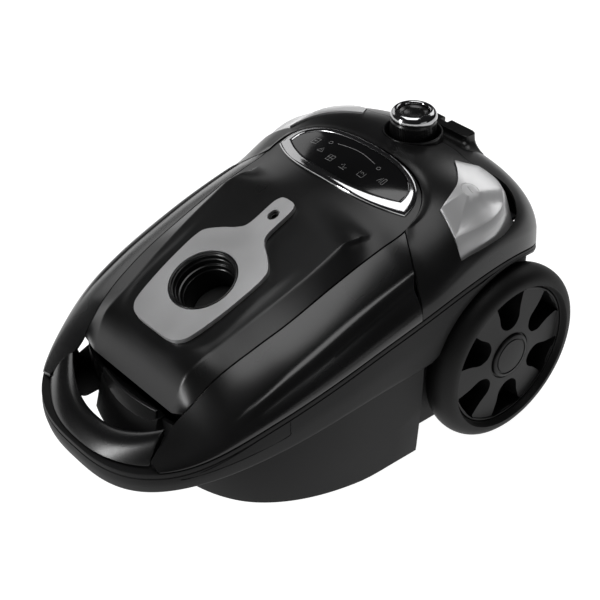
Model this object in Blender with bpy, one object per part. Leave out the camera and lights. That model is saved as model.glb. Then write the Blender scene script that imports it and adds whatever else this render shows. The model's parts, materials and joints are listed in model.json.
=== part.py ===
"""Canister vacuum cleaner: casings, lid, pedals, knob, wheels, castor and what the machine holds inside.

Metres, +Z up, the front faces -Y. The floor is z = 0. Lengths along Y are measured from a line 3 mm behind the rear
wheels' axle, and the last step moves the whole machine so that the middle of its length is over Y = 0.
"""

from math import acos, asin, cos, pi, radians, sin, sqrt

import bmesh
import bpy
from mathutils import Matrix, Vector

# ---- driving dimensions -------------------------------------------------
CENTRE_Y = 0.12715
GAP = 0.0004
FRONT_Y = -0.326
WIDE_Y = -0.090
REAR_Y = 0.065
HALF_WIDTH = 0.124
FRONT_POWER = 2.8
REAR_POWER = 5.0

BELT_TOP = ((-0.326, 0.082), (-0.287, 0.093), (-0.228, 0.117), (-0.150, 0.139), (-0.095, 0.150),
            (-0.030, 0.162), (0.010, 0.161), (0.065, 0.143))
BELT_LOW = ((-0.326, 0.063), (-0.285, 0.0745), (-0.224, 0.0875), (-0.150, 0.099), (-0.078, 0.103))
CROWN = ((-0.326, 0.084), (-0.300, 0.100), (-0.284, 0.1115), (-0.272, 0.122), (-0.248, 0.147),
         (-0.214, 0.1655), (-0.177, 0.180), (-0.145, 0.1925), (-0.110, 0.2045), (-0.070, 0.2150),
         (-0.033, 0.2190), (0.000, 0.2175), (0.035, 0.2080), (0.052, 0.1980), (0.0595, 0.1850), (0.0635, 0.1450))
PANEL = ((-0.272, -0.0120), (-0.262, 0.0), (-0.248, -0.0024), (-0.235, -0.0056), (-0.214, -0.0062), (-0.177, -0.0046),
         (-0.145, -0.0035), (-0.110, -0.0006), (-0.070, 0.0))
WING_EDGE = ((-0.304, 0.0654), (-0.2845, 0.0608), (-0.272, 0.0615))
SECTION_POWER = ((-0.326, 1.75), (-0.200, 1.75), (-0.100, 1.75), (-0.078, 1.76), (-0.045, 2.30), (-0.020, 2.5),
                 (0.065, 2.5))
SEAM_HALF = ((-0.276, 0.0592), (-0.265, 0.0630), (-0.250, 0.0662), (-0.230, 0.0700), (-0.210, 0.0732),
             (-0.190, 0.0755), (-0.150, 0.0772), (-0.110, 0.0782), (-0.076, 0.0790))
PANEL_HALF = ((-0.272, 0.049), (-0.250, 0.051), (-0.230, 0.054), (-0.190, 0.060), (-0.150, 0.064), (-0.100, 0.066))
TUB_FLOOR = ((-0.275, 0.046), (-0.235, 0.034), (-0.150, 0.0180), (-0.118, 0.017), (-0.106, 0.017), (-0.030, 0.017),
             (-0.018, 0.017), (0.065, 0.024))

WHEEL_Y = -0.003
WHEEL_RADIUS = 0.075
WHEEL_IN = 0.108
WHEEL_OUT = 0.138
RIM_RADIUS = 0.060
ARCH_RADIUS = 0.0805
AXLE_RADIUS = 0.004
TUB_REAR_HALF = 0.0985
GUARD_HALF = 0.1005

TUB_FRONT_Y = -0.273
TUB_POWER = 3.4
WALL = 0.003

SEAM_Y = -0.0770
SEAM_X = 0.080
SEAM_SLOPE = -0.50
HANDLE_SEAM_Y = -0.304
HANDLE_HALF = 0.064
LID_FRONT_Y = -0.272
LID_REAR_HALF = 0.0790
LID_CORNER_Y = -0.076
LID_ARC_POWER = 2.5
LID_ARC_Y = -0.034
LID_SHARES = (-1.0, -0.93, -0.8, -0.6, -0.3, 0.0, 0.3, 0.6, 0.8, 0.93, 1.0)
HINGE_Z = 0.2190

INLET_Y = -0.203
INLET_Z = 0.1672
INLET_TILT = radians(23.0)
INLET_RADIUS = 0.0275
PLATE_THICK = 0.004

BRACKET_TOP = 0.2155
BRACKET_REAR_Y = 0.0490
KNOB_Y = 0.008
KNOB_RADIUS = 0.0185
COLLAR_RADIUS = 0.0240

BULKHEAD_Y = -0.078

# ---- colours: base colour, roughness, metallic ---------------------------
GLOSS_BLACK = ((0.012, 0.012, 0.013), 0.18, 0.0)
SATIN_BLACK = ((0.018, 0.018, 0.019), 0.38, 0.0)
MATTE_BLACK = ((0.022, 0.022, 0.023), 0.60, 0.0)
RUBBER = ((0.015, 0.015, 0.015), 0.75, 0.0)
SILVER = ((0.62, 0.62, 0.63), 0.34, 0.9)
SILVER_PAINT = ((0.66, 0.66, 0.67), 0.30, 0.6)
CHROME = ((0.85, 0.85, 0.86), 0.08, 1.0)
STEEL = ((0.55, 0.55, 0.56), 0.30, 1.0)
SMOKED = ((0.02, 0.02, 0.022), 0.06, 0.0)
GREY = ((0.24, 0.25, 0.26), 0.5, 0.0)
PAPER = ((0.80, 0.77, 0.70), 0.9, 0.0)
FOAM = ((0.10, 0.11, 0.12), 0.95, 0.0)
BOARD = ((0.03, 0.16, 0.07), 0.5, 0.0)
WHITE = ((0.85, 0.85, 0.84), 0.9, 0.0)


def clear_scene():
    for obj in list(bpy.data.objects):
        bpy.data.objects.remove(obj, do_unlink=True)


def new_collection(name):
    made = bpy.data.collections.new(name)
    bpy.context.scene.collection.children.link(made)
    return made


clear_scene()
PARTS = new_collection("canister_vacuum_cleaner")
CUTTERS = new_collection("cutters")
PIVOTS = {}


# ---- helpers -------------------------------------------------------------
def material(name, look):
    colour, roughness, metallic = look
    made = bpy.data.materials.new(name)
    made.use_nodes = True
    shader = made.node_tree.nodes["Principled BSDF"]
    shader.inputs["Base Color"].default_value = (*colour, 1.0)
    shader.inputs["Roughness"].default_value = roughness
    shader.inputs["Metallic"].default_value = metallic
    return made


def pivot(name, place, parent=None):
    """An empty on a joint's axis, which the moving pieces hang from."""
    empty = bpy.data.objects.new(name, None)
    PARTS.objects.link(empty)
    empty.location = Vector(place) - (PIVOTS[parent][1] if parent else Vector())
    if parent:
        empty.parent = PIVOTS[parent][0]
    PIVOTS[name] = (empty, Vector(place))


def place_object(obj, look, parent, smooth=False):
    obj.data.materials.append(material(obj.name, look))
    if parent:
        obj.parent = PIVOTS[parent][0]
        obj.location = obj.location - PIVOTS[parent][1]
    if smooth:
        for face in obj.data.polygons:
            face.use_smooth = True
    return obj


def object_from(bm, name, collection=None):
    bmesh.ops.recalc_face_normals(bm, faces=bm.faces)
    mesh = bpy.data.meshes.new(name)
    bm.to_mesh(mesh)
    bm.free()
    obj = bpy.data.objects.new(name, mesh)
    (collection or PARTS).objects.link(obj)
    return obj


def strip_cap(bm, row):
    """Closes a loop that is symmetric about X = 0 with faces across it, which follow a curved floor."""
    count = len(row)
    for i in range(count // 2):
        corners = []
        for index in (i, i + 1, count - i - 1, (count - i) % count):
            if row[index] not in corners:
                corners.append(row[index])
        bm.faces.new(corners)


def loft(name, loops, look, parent=None, joined=False, collection=None, strips=False):
    """A closed solid through closed loops of points, capped at both ends or joined into a ring."""
    bm = bmesh.new()
    rows = [[bm.verts.new(point) for point in loop] for loop in loops]
    pairs = list(zip(rows, rows[1:]))
    if joined:
        pairs.append((rows[-1], rows[0]))
    for first, second in pairs:
        count = len(first)
        for i in range(count):
            k = (i + 1) % count
            bm.faces.new((first[i], first[k], second[k], second[i]))
    if strips:
        strip_cap(bm, rows[0])
        strip_cap(bm, rows[-1])
    elif not joined:
        bm.faces.new(rows[0])
        bm.faces.new(rows[-1])
    obj = object_from(bm, name, collection)
    return place_object(obj, look, parent) if look else obj


def shell(name, outer, inner, look, parent=None):
    """A thin closed solid between two grids of points of the same size."""
    bm = bmesh.new()
    tops = [[bm.verts.new(point) for point in row] for row in outer]
    unders = [[bm.verts.new(point) for point in row] for row in inner]
    last_row = len(tops) - 1
    last = len(tops[0]) - 1
    for i in range(last_row):
        for k in range(last):
            bm.faces.new((tops[i][k], tops[i][k + 1], tops[i + 1][k + 1], tops[i + 1][k]))
            bm.faces.new((unders[i][k], unders[i + 1][k], unders[i + 1][k + 1], unders[i][k + 1]))
    for k in range(last):
        bm.faces.new((tops[0][k], unders[0][k], unders[0][k + 1], tops[0][k + 1]))
        bm.faces.new((tops[last_row][k], tops[last_row][k + 1], unders[last_row][k + 1], unders[last_row][k]))
    for i in range(last_row):
        bm.faces.new((tops[i][0], tops[i + 1][0], unders[i + 1][0], unders[i][0]))
        bm.faces.new((tops[i][last], unders[i][last], unders[i + 1][last], tops[i + 1][last]))
    return place_object(object_from(bm, name), look, parent)


def box(name, size, place, look, parent=None, tilt=0.0, bevel=0.0, collection=None):
    bm = bmesh.new()
    bmesh.ops.create_cube(bm, size=1.0)
    bmesh.ops.scale(bm, vec=size, verts=bm.verts)
    if bevel:
        bmesh.ops.bevel(bm, geom=bm.edges[:], offset=bevel, segments=1, affect="EDGES")
    bmesh.ops.rotate(bm, matrix=Matrix.Rotation(tilt, 3, "X"), verts=bm.verts)
    obj = object_from(bm, name, collection)
    obj.location = place
    return place_object(obj, look, parent) if look else obj


def rod(name, radius, length, place, axis, look, parent=None, sides=16, collection=None):
    bm = bmesh.new()
    bmesh.ops.create_cone(bm, cap_ends=True, segments=sides, radius1=radius, radius2=radius, depth=length)
    turn = Vector((0, 0, 1)).rotation_difference(Vector(axis).normalized()).to_matrix()
    bmesh.ops.rotate(bm, matrix=turn, verts=bm.verts)
    obj = object_from(bm, name, collection)
    obj.location = place
    return place_object(obj, look, parent, smooth=bool(look)) if look else obj


def turned(name, profile, place, axis, look, parent=None, steps=32, closed=True):
    """A solid turned about an axis. The profile is (radius, distance along the axis)."""
    loops = []
    direction = Vector(axis).normalized()
    side = direction.orthogonal().normalized()
    across = direction.cross(side)
    for step in range(steps):
        angle = 2 * pi * step / steps
        out = side * cos(angle) + across * sin(angle)
        loops.append([out * radius + direction * along for radius, along in profile])
    obj = loft(name, loops, None, joined=closed)
    obj.location = place
    return place_object(obj, look, parent, smooth=True)


def flat(name, outlines, thickness, look, matrix, parent=None):
    """A flat piece from closed outlines, the first of them the outside and the rest holes."""
    curve = bpy.data.curves.new(name, "CURVE")
    curve.dimensions = "2D"
    curve.fill_mode = "BOTH"
    curve.extrude = thickness / 2
    for outline in outlines:
        spline = curve.splines.new("POLY")
        spline.points.add(len(outline) - 1)
        for point, (x, y) in zip(spline.points, outline):
            point.co = (x, y, 0, 1)
        spline.use_cyclic_u = True
    helper = bpy.data.objects.new(name + "_outline", curve)
    CUTTERS.objects.link(helper)
    mesh = bpy.data.meshes.new_from_object(helper)
    bpy.data.objects.remove(helper)
    bm = bmesh.new()
    bm.from_mesh(mesh)
    bmesh.ops.remove_doubles(bm, verts=bm.verts, dist=1e-6)
    bmesh.ops.transform(bm, matrix=matrix, verts=bm.verts)
    return place_object(object_from(bm, name), look, parent)


def spring(name, radius, wire, turns, length, place, axis, look, parent=None):
    """A coil spring as a bevelled curve with filled caps."""
    curve = bpy.data.curves.new(name, "CURVE")
    curve.dimensions = "3D"
    curve.bevel_depth = wire
    curve.bevel_resolution = 0
    curve.use_fill_caps = True
    spline = curve.splines.new("POLY")
    count = turns * 10
    spline.points.add(count)
    turn = Vector((0, 0, 1)).rotation_difference(Vector(axis).normalized()).to_matrix()
    for i, point in enumerate(spline.points):
        angle = 2 * pi * i / 10
        spot = turn @ Vector((radius * cos(angle), radius * sin(angle), length * (i / count - 0.5)))
        point.co = (*spot, 1)
    obj = bpy.data.objects.new(name, curve)
    PARTS.objects.link(obj)
    obj.location = place
    return place_object_curve(obj, look, parent)


def place_object_curve(obj, look, parent):
    obj.data.materials.append(material(obj.name, look))
    if parent:
        obj.parent = PIVOTS[parent][0]
        obj.location = obj.location - PIVOTS[parent][1]
    return obj


def cut(obj, cutter):
    cutter.hide_render = True
    cutter.display_type = "WIRE"
    modifier = obj.modifiers.new("cut_" + cutter.name, "BOOLEAN")
    modifier.operation = "DIFFERENCE"
    modifier.solver = "EXACT"
    modifier.object = cutter


def blend(points, at):
    """A smooth curve through (place, value) points, with level ends between equal neighbours."""
    if at <= points[0][0]:
        return points[0][1]
    for i, (start, end) in enumerate(zip(points, points[1:])):
        if at <= end[0]:
            break
    else:
        return points[-1][1]
    before = points[max(i - 1, 0)]
    after = points[min(i + 2, len(points) - 1)]
    width = end[0] - start[0]
    slope_in = (end[1] - before[1]) / (end[0] - before[0])
    slope_out = (after[1] - start[1]) / (after[0] - start[0])
    t = (at - start[0]) / width
    return (
        (2 * t**3 - 3 * t**2 + 1) * start[1]
        + (t**3 - 2 * t**2 + t) * width * slope_in
        + (-2 * t**3 + 3 * t**2) * end[1]
        + (t**3 - t**2) * width * slope_out
    )


def smooth_step(t):
    t = min(max(t, 0.0), 1.0)
    return t * t * (3 - 2 * t)


# ---- the body's form -----------------------------------------------------
def half_width(y):
    """Half the body's width at the belt."""
    if y < WIDE_Y:
        share = min((WIDE_Y - y) / (WIDE_Y - FRONT_Y), 1.0)
        return HALF_WIDTH * (1 - share**FRONT_POWER) ** (1 / FRONT_POWER)
    share = min((y - WIDE_Y) / (REAR_Y - WIDE_Y), 1.0)
    return HALF_WIDTH * (1 - share**REAR_POWER) ** (1 / REAR_POWER)


def belt_top(y):
    return blend(BELT_TOP, y)


def belt_low(y):
    """The belt's lower edge, which runs over the wheel as an arch."""
    low = blend(BELT_LOW, y)
    reach = ARCH_RADIUS**2 - (y - WHEEL_Y) ** 2
    arch = WHEEL_RADIUS + sqrt(reach) if reach > 0 else 0.0
    return max(min(low, 0.103), arch)


def upper_point(y, v, drop=0.0):
    """A point of the upper casings: v runs from the right edge, 1, over the top, 0, to the left edge, -1."""
    width = half_width(y)
    low = belt_top(y) + 0.0012
    rise = max(blend(CROWN, y) - low, 0.001)
    angle = abs(v) * pi / 2
    bend = 2 / blend(SECTION_POWER, y)
    x = width * sin(angle) ** bend
    z = low + rise * max(cos(angle), 0.0) ** bend
    inward = drop * sin(angle)
    down = drop * cos(angle)
    return Vector(((x - inward) * (1 if v >= 0 else -1), y, z - down))


def v_of(x, y):
    """The v at which the upper casings reach this x."""
    share = min(abs(x) / max(half_width(y), 1e-6), 1.0)
    return asin(share ** (blend(SECTION_POWER, y) / 2)) / (pi / 2) * (1 if x >= 0 else -1)


def crown_height(x, y):
    return upper_point(y, v_of(x, y)).z


def seam_half(y):
    """Half the lid's width at y."""
    return blend(SEAM_HALF, y)


def lid_height(x, y):
    """The lid's surface: the casings' form, with a flatter panel where the hose plate lies."""
    section = crown_height(x, y)
    panel = blend(CROWN, y) + blend(PANEL, y)
    share = smooth_step((blend(PANEL_HALF, y) + 0.006 - abs(x)) / 0.012) * smooth_step((-0.096 - y) / 0.035)
    return section + (panel - section) * share


def spread(start, end, count):
    return [start + (end - start) * i / (count - 1) for i in range(count)]


def plan_loop(front_y, rear_y, half, front_power, rear_power, steps=9):
    """A closed outline in plan: the front centre, the right side, the rear centre and the left side."""
    right = []
    for i in range(1, steps):
        angle = pi / 2 * i / steps
        right.append((half * sin(angle) ** (2 / front_power),
                      WIDE_Y - (WIDE_Y - front_y) * cos(angle) ** (2 / front_power)))
    reach = rear_y - WIDE_Y
    for share in (0.0, 0.03, 0.07, 0.15, 0.25, 0.35, 0.45, 0.55, 0.65, 0.75, 0.85, 0.93, 0.975, 0.995):
        right.append((half * (1 - share**rear_power) ** (1 / rear_power), WIDE_Y + reach * share))
    left = [(-x, y) for x, y in reversed(right)]
    return [(0.0, front_y)] + right + [(0.0, rear_y)] + left


# ---- casings -------------------------------------------------------------
def tub_loop(inset, level):
    """One loop of the tub: level 0 is its floor and level 1 its rim."""
    tuck = 0.010 * (1 - level) ** 2
    loop = []
    outline = plan_loop(TUB_FRONT_Y + inset + tuck * 1.6, REAR_Y - 0.0055 - inset - tuck,
                        HALF_WIDTH - 0.004 - inset - tuck, TUB_POWER, REAR_POWER)
    for x, y in outline:
        squeeze = smooth_step((y - (WIDE_Y - 0.0005)) / 0.009)
        limit = HALF_WIDTH + (TUB_REAR_HALF - inset - tuck - HALF_WIDTH) * squeeze
        x = max(-limit, min(limit, x))
        low = blend(TUB_FLOOR, y) + inset
        rise = smooth_step((-0.243 - y) / 0.022) * 0.020
        high = min(belt_low(y), 0.150) - 0.0010 + rise
        loop.append(Vector((x, y, low + (high - low) * level)))
    return loop


def make_tub():
    outer = [tub_loop(0.0, level) for level in (0.0, 0.12, 0.45, 1.0)]
    inner = [tub_loop(WALL, level) for level in (1.0, 0.45, 0.12, 0.0)]
    for point, rim in zip(inner[0], outer[-1]):
        point.z = rim.z
    tub = loft("lower_tub", outer + inner, MATTE_BLACK, strips=True)
    grille_hole = box("grille_hole", (0.104, 0.030, 0.050), (0, REAR_Y - 0.006, 0.085), None, collection=CUTTERS)
    cut(tub, grille_hole)
    outlet_hole = rod("outlet_hole", 0.0085, 0.030, (0.070, REAR_Y - 0.006, 0.075), (0, 1, 0), None,
                      collection=CUTTERS)
    cut(tub, outlet_hole)
    stem_hole = rod("stem_hole", 0.0055, 0.030, (0, -0.228, 0.036), (0, 0, 1), None, collection=CUTTERS)
    cut(tub, stem_hole)


def belt_inner(x, y):
    """The belt's inner edge: behind a bar at the front, close at the sides, and inside the wheels as a mudguard."""
    if y > WIDE_Y and abs(x) > GUARD_HALF:
        guard = smooth_step((y - WIDE_Y) / 0.009)
        inner_x = abs(x) - 0.005
        return (inner_x + (GUARD_HALF - inner_x) * guard) * (1 if x > 0 else -1), y
    bar = 0.019 * smooth_step((-0.272 - y) / 0.02)
    inward = Vector((-x, (WIDE_Y - y) * 0.62)).normalized()
    inner = Vector((x, y)) + inward * (0.005 + bar)
    return inner.x, inner.y


def make_belt():
    loops = []
    for x, y in plan_loop(FRONT_Y, REAR_Y, HALF_WIDTH, FRONT_POWER, REAR_POWER, 14):
        top = belt_top(y)
        low = belt_low(y)
        inner_x, inner_y = belt_inner(x, y)
        loops.append([
            Vector((x, y, top)),
            Vector((x, y, (top + low) / 2)),
            Vector((x * 0.99, y * 0.995, low)),
            Vector((inner_x, inner_y, low)),
            Vector((inner_x, inner_y, top)),
        ])
    loft("bumper_belt", loops, MATTE_BLACK, joined=True)


def handle_point(share, across, lift=0.0):
    """A point of the handle's cover: share runs along the bar, -1 to 1, across from its outer edge to its inner."""
    outer_y = HANDLE_SEAM_Y + (FRONT_Y + 0.003 - HANDLE_SEAM_Y) * (1 - abs(share) ** 2.4)
    inner_y = -0.2845 + (-0.3035 + 0.2845) * (1 - abs(share) ** 2.2)
    outer = Vector((share * HANDLE_HALF, outer_y, belt_top(outer_y) + GAP))
    inner = Vector((share * 0.0585, inner_y, 0.0935 + 0.0150 * abs(share) ** 2.2))
    point = outer.lerp(inner, across)
    point.z += lift * sin(pi * across)
    return point


def make_handle_cover():
    along = spread(-1.0, 1.0, 13)
    outer = []
    inner = []
    for share in along:
        outer.append([handle_point(share, a, 0.0055) for a in (0.0, 0.25, 0.5, 0.75, 1.0)])
        under = [handle_point(share, a) for a in (0.12, 0.3, 0.5, 0.7, 0.90)]
        for point in under:
            point.z = max(point.z - 0.004, belt_top(point.y) + GAP)
        under[0].z = belt_top(under[0].y) + GAP
        inner.append(under)
    shell("front_handle_cover", outer, inner, GLOSS_BLACK)


def wing_inner_x(y):
    """The wing's inner edge: along the handle's opening, then along the lid's seam."""
    if y < LID_FRONT_Y:
        return blend(WING_EDGE, y)
    return seam_half(y) + 0.0012


def seam_y(x):
    """The slanted seam between a wing and the rear casing."""
    return SEAM_Y + SEAM_SLOPE * (abs(x) - SEAM_X)


def wing_rear_y(share):
    """Where a lengthwise line of the wing ends at the slanted seam. The share runs from the outer edge to the inner."""
    y = SEAM_Y
    for _ in range(6):
        edge = v_of(wing_inner_x(y), y)
        y = seam_y(upper_point(y, 1.0 + (edge - 1.0) * share).x) - GAP
    return y


def make_wing(name, side):
    outer = []
    inner = []
    front = HANDLE_SEAM_Y + 0.001
    for along in spread(0.0, 1.0, 16):
        row = []
        under = []
        for share in (0.0, 0.2, 0.4, 0.6, 0.8, 1.0):
            y = front + (wing_rear_y(share) - front) * along
            v = 1.0 + (v_of(wing_inner_x(y), y) - 1.0) * share
            row.append(upper_point(y, v * side))
            under.append(upper_point(y, v * side, 0.0025))
        under[0].z = row[0].z
        under[-1].x = row[-1].x
        outer.append(row)
        inner.append(under)
    shell(name, outer, inner, GLOSS_BLACK)


def arc_y(x):
    """The lid's rear edge, an arc behind the display."""
    share = min(abs(x) / LID_REAR_HALF, 1.0)
    return LID_CORNER_Y + (LID_ARC_Y - LID_CORNER_Y) * (1 - share**LID_ARC_POWER) ** (1 / LID_ARC_POWER)


def casing_columns():
    """The casing's lengthwise lines, from left to right, each as its v and the y at which it starts."""
    columns = []
    for share in LID_SHARES[5:]:
        x = LID_REAR_HALF * share
        y = arc_y(x) + 0.0010
        columns.append((v_of(x, y), y))
    for x in (0.0803, 0.0840, 0.0890, 0.0960, 0.1040, 0.1110, 0.1165, 0.1205):
        y = seam_y(x) + GAP
        columns.append((v_of(x, y), y))
    y = seam_y(HALF_WIDTH) + GAP
    columns.append((1.0, y))
    left = [(-v, y) for v, y in reversed(columns[1:])]
    return left + columns


def casing_under(y, v):
    """The casing's underside: straight down near the lid, and square to the surface at the sides."""
    top = upper_point(y, v)
    straight = top - Vector((0, 0, 0.0028))
    square = upper_point(y, v, 0.0028)
    point = straight.lerp(square, smooth_step((abs(top.x) - 0.082) / 0.020))
    point.z = max(point.z, belt_top(y) + 0.0008)
    return point


def make_rear_casing():
    outer = []
    inner = []
    for share in (0.0, 0.1, 0.25, 0.42, 0.6, 0.76, 0.87, 0.94, 0.972, 1.0):
        row = []
        under = []
        for v, start in casing_columns():
            y = start + (REAR_Y - 0.0015 - start) * share
            row.append(upper_point(y, v))
            under.append(casing_under(start + (REAR_Y - 0.0045 - start) * share + 0.0001, v))
        under[0].z = row[0].z
        under[-1].z = row[-1].z
        outer.append(row)
        inner.append(under)
    casing = shell("rear_casing", outer, inner, SATIN_BLACK)
    for side, name in ((1, "power_pedal_gap"), (-1, "rewind_pedal_gap")):
        cut(casing, pedal_gap(name, side))
    knob_well = rod("knob_well", COLLAR_RADIUS + 0.0005, 0.060, (0, KNOB_Y, 0.205), (0, 0, 1), None, sides=28,
                    collection=CUTTERS)
    cut(casing, knob_well)


# ---- pedals --------------------------------------------------------------
PEDAL_PIVOT_Y = -0.0430


def pedal_outline(grow, flare=0.0):
    """The pedal's outline in plan on the right side, a curved strip whose outer edge leans out by the flare."""
    inner = [(0.052, 0.002), (0.066, -0.009), (0.077, -0.022), (0.086, -0.047)]
    outer = [(0.106, -0.051), (0.1100, -0.030), (0.1080, -0.010), (0.099, 0.008), (0.083, 0.019)]
    leans = [(0.0110, -0.0030), (0.0085, 0.0), (0.0085, 0.0030), (0.0080, 0.0060), (0.0030, 0.0060)]
    no_lean = (0.0, 0.0)
    centre = Vector((0.086, -0.018))
    points = []
    for corner, lean in zip(inner + outer + [(0.064, 0.017)], [no_lean] * 4 + leans + [no_lean]):
        spot = Vector(corner)
        points.append(spot + (spot - centre).normalized() * grow + Vector(lean) * flare)
    return points


def pedal_top(x, y):
    return crown_height(min(x, 0.098), y) + 0.0012 - max(x - 0.090, 0.0) * 0.45


def pedal_gap(name, side):
    """The cutter for a pedal's gap, which opens through the casing's shoulder."""
    loops = []
    for z in (0.1680, 0.2600):
        loops.append([Vector((spot.x * side, spot.y, z)) for spot in pedal_outline(0.0012, 1.12)])
    return loft(name, loops, None, collection=CUTTERS)


def make_pedal_shape(name, side, parent):
    loops = []
    for inset, flare, level in ((0.0, 1.0, None), (0.0, 0.0, -0.0012), (0.0013, 0.0, 0.0)):
        loop = []
        for spot in pedal_outline(-inset, flare):
            top = pedal_top(spot.x, spot.y)
            z = max(top - 0.018, 0.1745) if level is None else top + level
            loop.append(Vector((spot.x * side, spot.y, z)))
        loops.append(loop)
    place_object(loft(name, loops, None), SILVER_PAINT, parent)


def make_pedal(name, side):
    pivot(name + "_pivot", (side * 0.092, PEDAL_PIVOT_Y, 0.1700))
    make_pedal_shape(name, side, name + "_pivot")


def make_pedal_works():
    for side, word in ((1, "power"), (-1, "rewind")):
        rod(word + "_pedal_pin", 0.0020, 0.020, (side * 0.092, PEDAL_PIVOT_Y, 0.1700), (1, 0, 0), STEEL, sides=12)
        spring(word + "_pedal_spring", 0.0045, 0.0007, 4, 0.0135, (side * 0.078, 0.000, 0.1757), (0, 0, 1), STEEL)
    box("power_switch", (0.022, 0.028, 0.020), (0.080, -0.010, 0.1485), GREY)
    pivot("plunger_pivot", (0.084, -0.016, 0.1730))
    box("switch_plunger", (0.008, 0.010, 0.0236), (0.084, -0.016, 0.1730), WHITE, "plunger_pivot")
    deck = box("inner_deck", (0.176, 0.100, 0.003), (0, -0.010, 0.1664), GREY)
    cut(deck, box("plunger_hole", (0.011, 0.013, 0.020), (0.084, -0.016, 0.1664), None, collection=CUTTERS))


# ---- lid -----------------------------------------------------------------
def lid_rows(drop, margin, front):
    """Rows of points of the lid from its front edge to its rear arc."""
    rows = []
    for share in (0.0, 0.06, 0.14, 0.28, 0.44, 0.6, 0.74, 0.86, 0.94, 1.0):
        row = []
        for across in LID_SHARES:
            rear = arc_y(seam_half(front + (LID_CORNER_Y - front) * share) * across)
            y = front + (rear - front) * share
            x = (seam_half(y) - margin) * across
            row.append(Vector((x, y, lid_height(x, y) - drop)))
        rows.append(row)
    return rows


def make_lid():
    pivot("lid_pivot", (0, LID_ARC_Y, HINGE_Z))
    lid = shell("lid_shell", lid_rows(0.0, 0.0, LID_FRONT_Y), lid_rows(0.0028, 0.0005, LID_FRONT_Y + 0.002),
                SATIN_BLACK, "lid_pivot")
    normal = Vector((0, -sin(INLET_TILT), cos(INLET_TILT)))
    hole = rod("inlet_hole", INLET_RADIUS + 0.0006, 0.080, Vector((0, INLET_Y, INLET_Z)), normal, None,
               sides=32, collection=CUTTERS)
    hole.parent = PIVOTS["lid_pivot"][0]
    hole.location = hole.location - PIVOTS["lid_pivot"][1]
    cut(lid, hole)
    make_inlet_plate()
    place = Vector((0, INLET_Y, INLET_Z)) + normal * 0.0016
    collar = [(0.0268, 0.0), (0.0250, 0.0006), (0.0235, -0.004), (0.0235, -0.009), (0.0205, -0.010),
              (0.0205, -0.036), (0.0230, -0.036), (0.0230, -0.0265), (0.0268, -0.0255)]
    turned("inlet_collar", collar, place, normal, MATTE_BLACK, "lid_pivot")
    seal = [(0.0235, -0.0275), (0.0235, -0.0340), (0.0310, -0.0340), (0.0310, -0.0290), (0.0280, -0.0275)]
    turned("inlet_seal", seal, place, normal, RUBBER, "lid_pivot")
    make_lid_seal()
    make_hinge_arms()


def plate_outline():
    """The plate round the hose hole, in its own plane: a shield with a slim tongue towards the rear."""
    right = [(0.0, -0.0520), (0.018, -0.0515), (0.0275, -0.0475), (0.0330, -0.0380), (0.0375, -0.012),
             (0.0395, 0.012), (0.0395, 0.026), (0.0370, 0.034), (0.0270, 0.0425), (0.0160, 0.0495),
             (0.0105, 0.0575), (0.0100, 0.0800), (0.0085, 0.0870), (0.0050, 0.0900)]
    left = [(-x, y) for x, y in reversed(right) if x > 0]
    return right + left


def circle(radius, count, centre=(0.0, 0.0), stretch=1.0):
    return [(centre[0] + radius * cos(2 * pi * i / count), centre[1] + radius * stretch * sin(2 * pi * i / count))
            for i in range(count)]


def make_inlet_plate():
    seat = Matrix.Translation((0, INLET_Y, INLET_Z)) @ Matrix.Rotation(INLET_TILT, 4, "X")
    local = Matrix.Translation(-PIVOTS["lid_pivot"][1]) @ seat
    plate = flat("inlet_plate", [plate_outline(), circle(0.0276, 32), circle(0.0042, 12, (0, 0.0735), 1.25)],
                 PLATE_THICK, SILVER, local)
    plate.parent = PIVOTS["lid_pivot"][0]


def make_lid_seal():
    """The rubber gasket under the lid's edge, which closes the dust compartment."""
    loops = []
    count = 32
    for i in range(count):
        angle = 2 * pi * i / count
        share_x = abs(cos(angle)) ** 0.5 * (1 if cos(angle) >= 0 else -1)
        share_y = abs(sin(angle)) ** 0.5 * (1 if sin(angle) >= 0 else -1)
        y = -0.180 + 0.078 * share_y
        x = (seam_half(y) - 0.0095) * share_x
        inward = Vector((-x, -0.180 - y)).normalized() * 0.004
        z = lid_under(x, y) - 0.0036
        z_in = lid_under(x + inward.x, y + inward.y) - 0.0036
        low = min(z, z_in) - 0.0030
        loops.append([Vector((x, y, z)), Vector((x, y, low)),
                      Vector((x + inward.x, y + inward.y, low)), Vector((x + inward.x, y + inward.y, z_in))])
    seal = loft("lid_seal", loops, None, joined=True)
    place_object(seal, RUBBER, "lid_pivot")


def lid_under(x, y):
    return lid_height(x, y) - 0.0028


def make_hinge_arms():
    """Swan-neck arms that carry the lid, so that it turns about its own rear edge."""
    for side, name in ((-1, "hinge_arm_left"), (1, "hinge_arm_right")):
        x = side * 0.034
        outline = [(-0.082, 0.1995), (-0.060, 0.2045), (-0.045, 0.2035), (-0.030, 0.1960), (-0.018, 0.1980),
                   (-0.016, 0.1940), (-0.030, 0.1900), (-0.048, 0.1960), (-0.062, 0.1985), (-0.082, 0.1945)]
        loops = []
        for offset in (-0.003, 0.003):
            loops.append([Vector((x + offset, y, z - 0.0035)) for y, z in outline])
        arm = loft(name, loops, None)
        place_object(arm, GREY, "lid_pivot")


def display_outline(angle, corner_x, corner_y, rear, front):
    """A point of a pointed lens in plan: a full arc behind the corners and a flatter one in front of them."""
    x = corner_x * cos(angle)
    share = abs(x) / corner_x
    if sin(angle) >= 0:
        return x, corner_y + rear * max(1 - share**LID_ARC_POWER, 0.0) ** (1 / LID_ARC_POWER)
    return x, corner_y - front * max(1 - share**2.2, 0.0)


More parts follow.
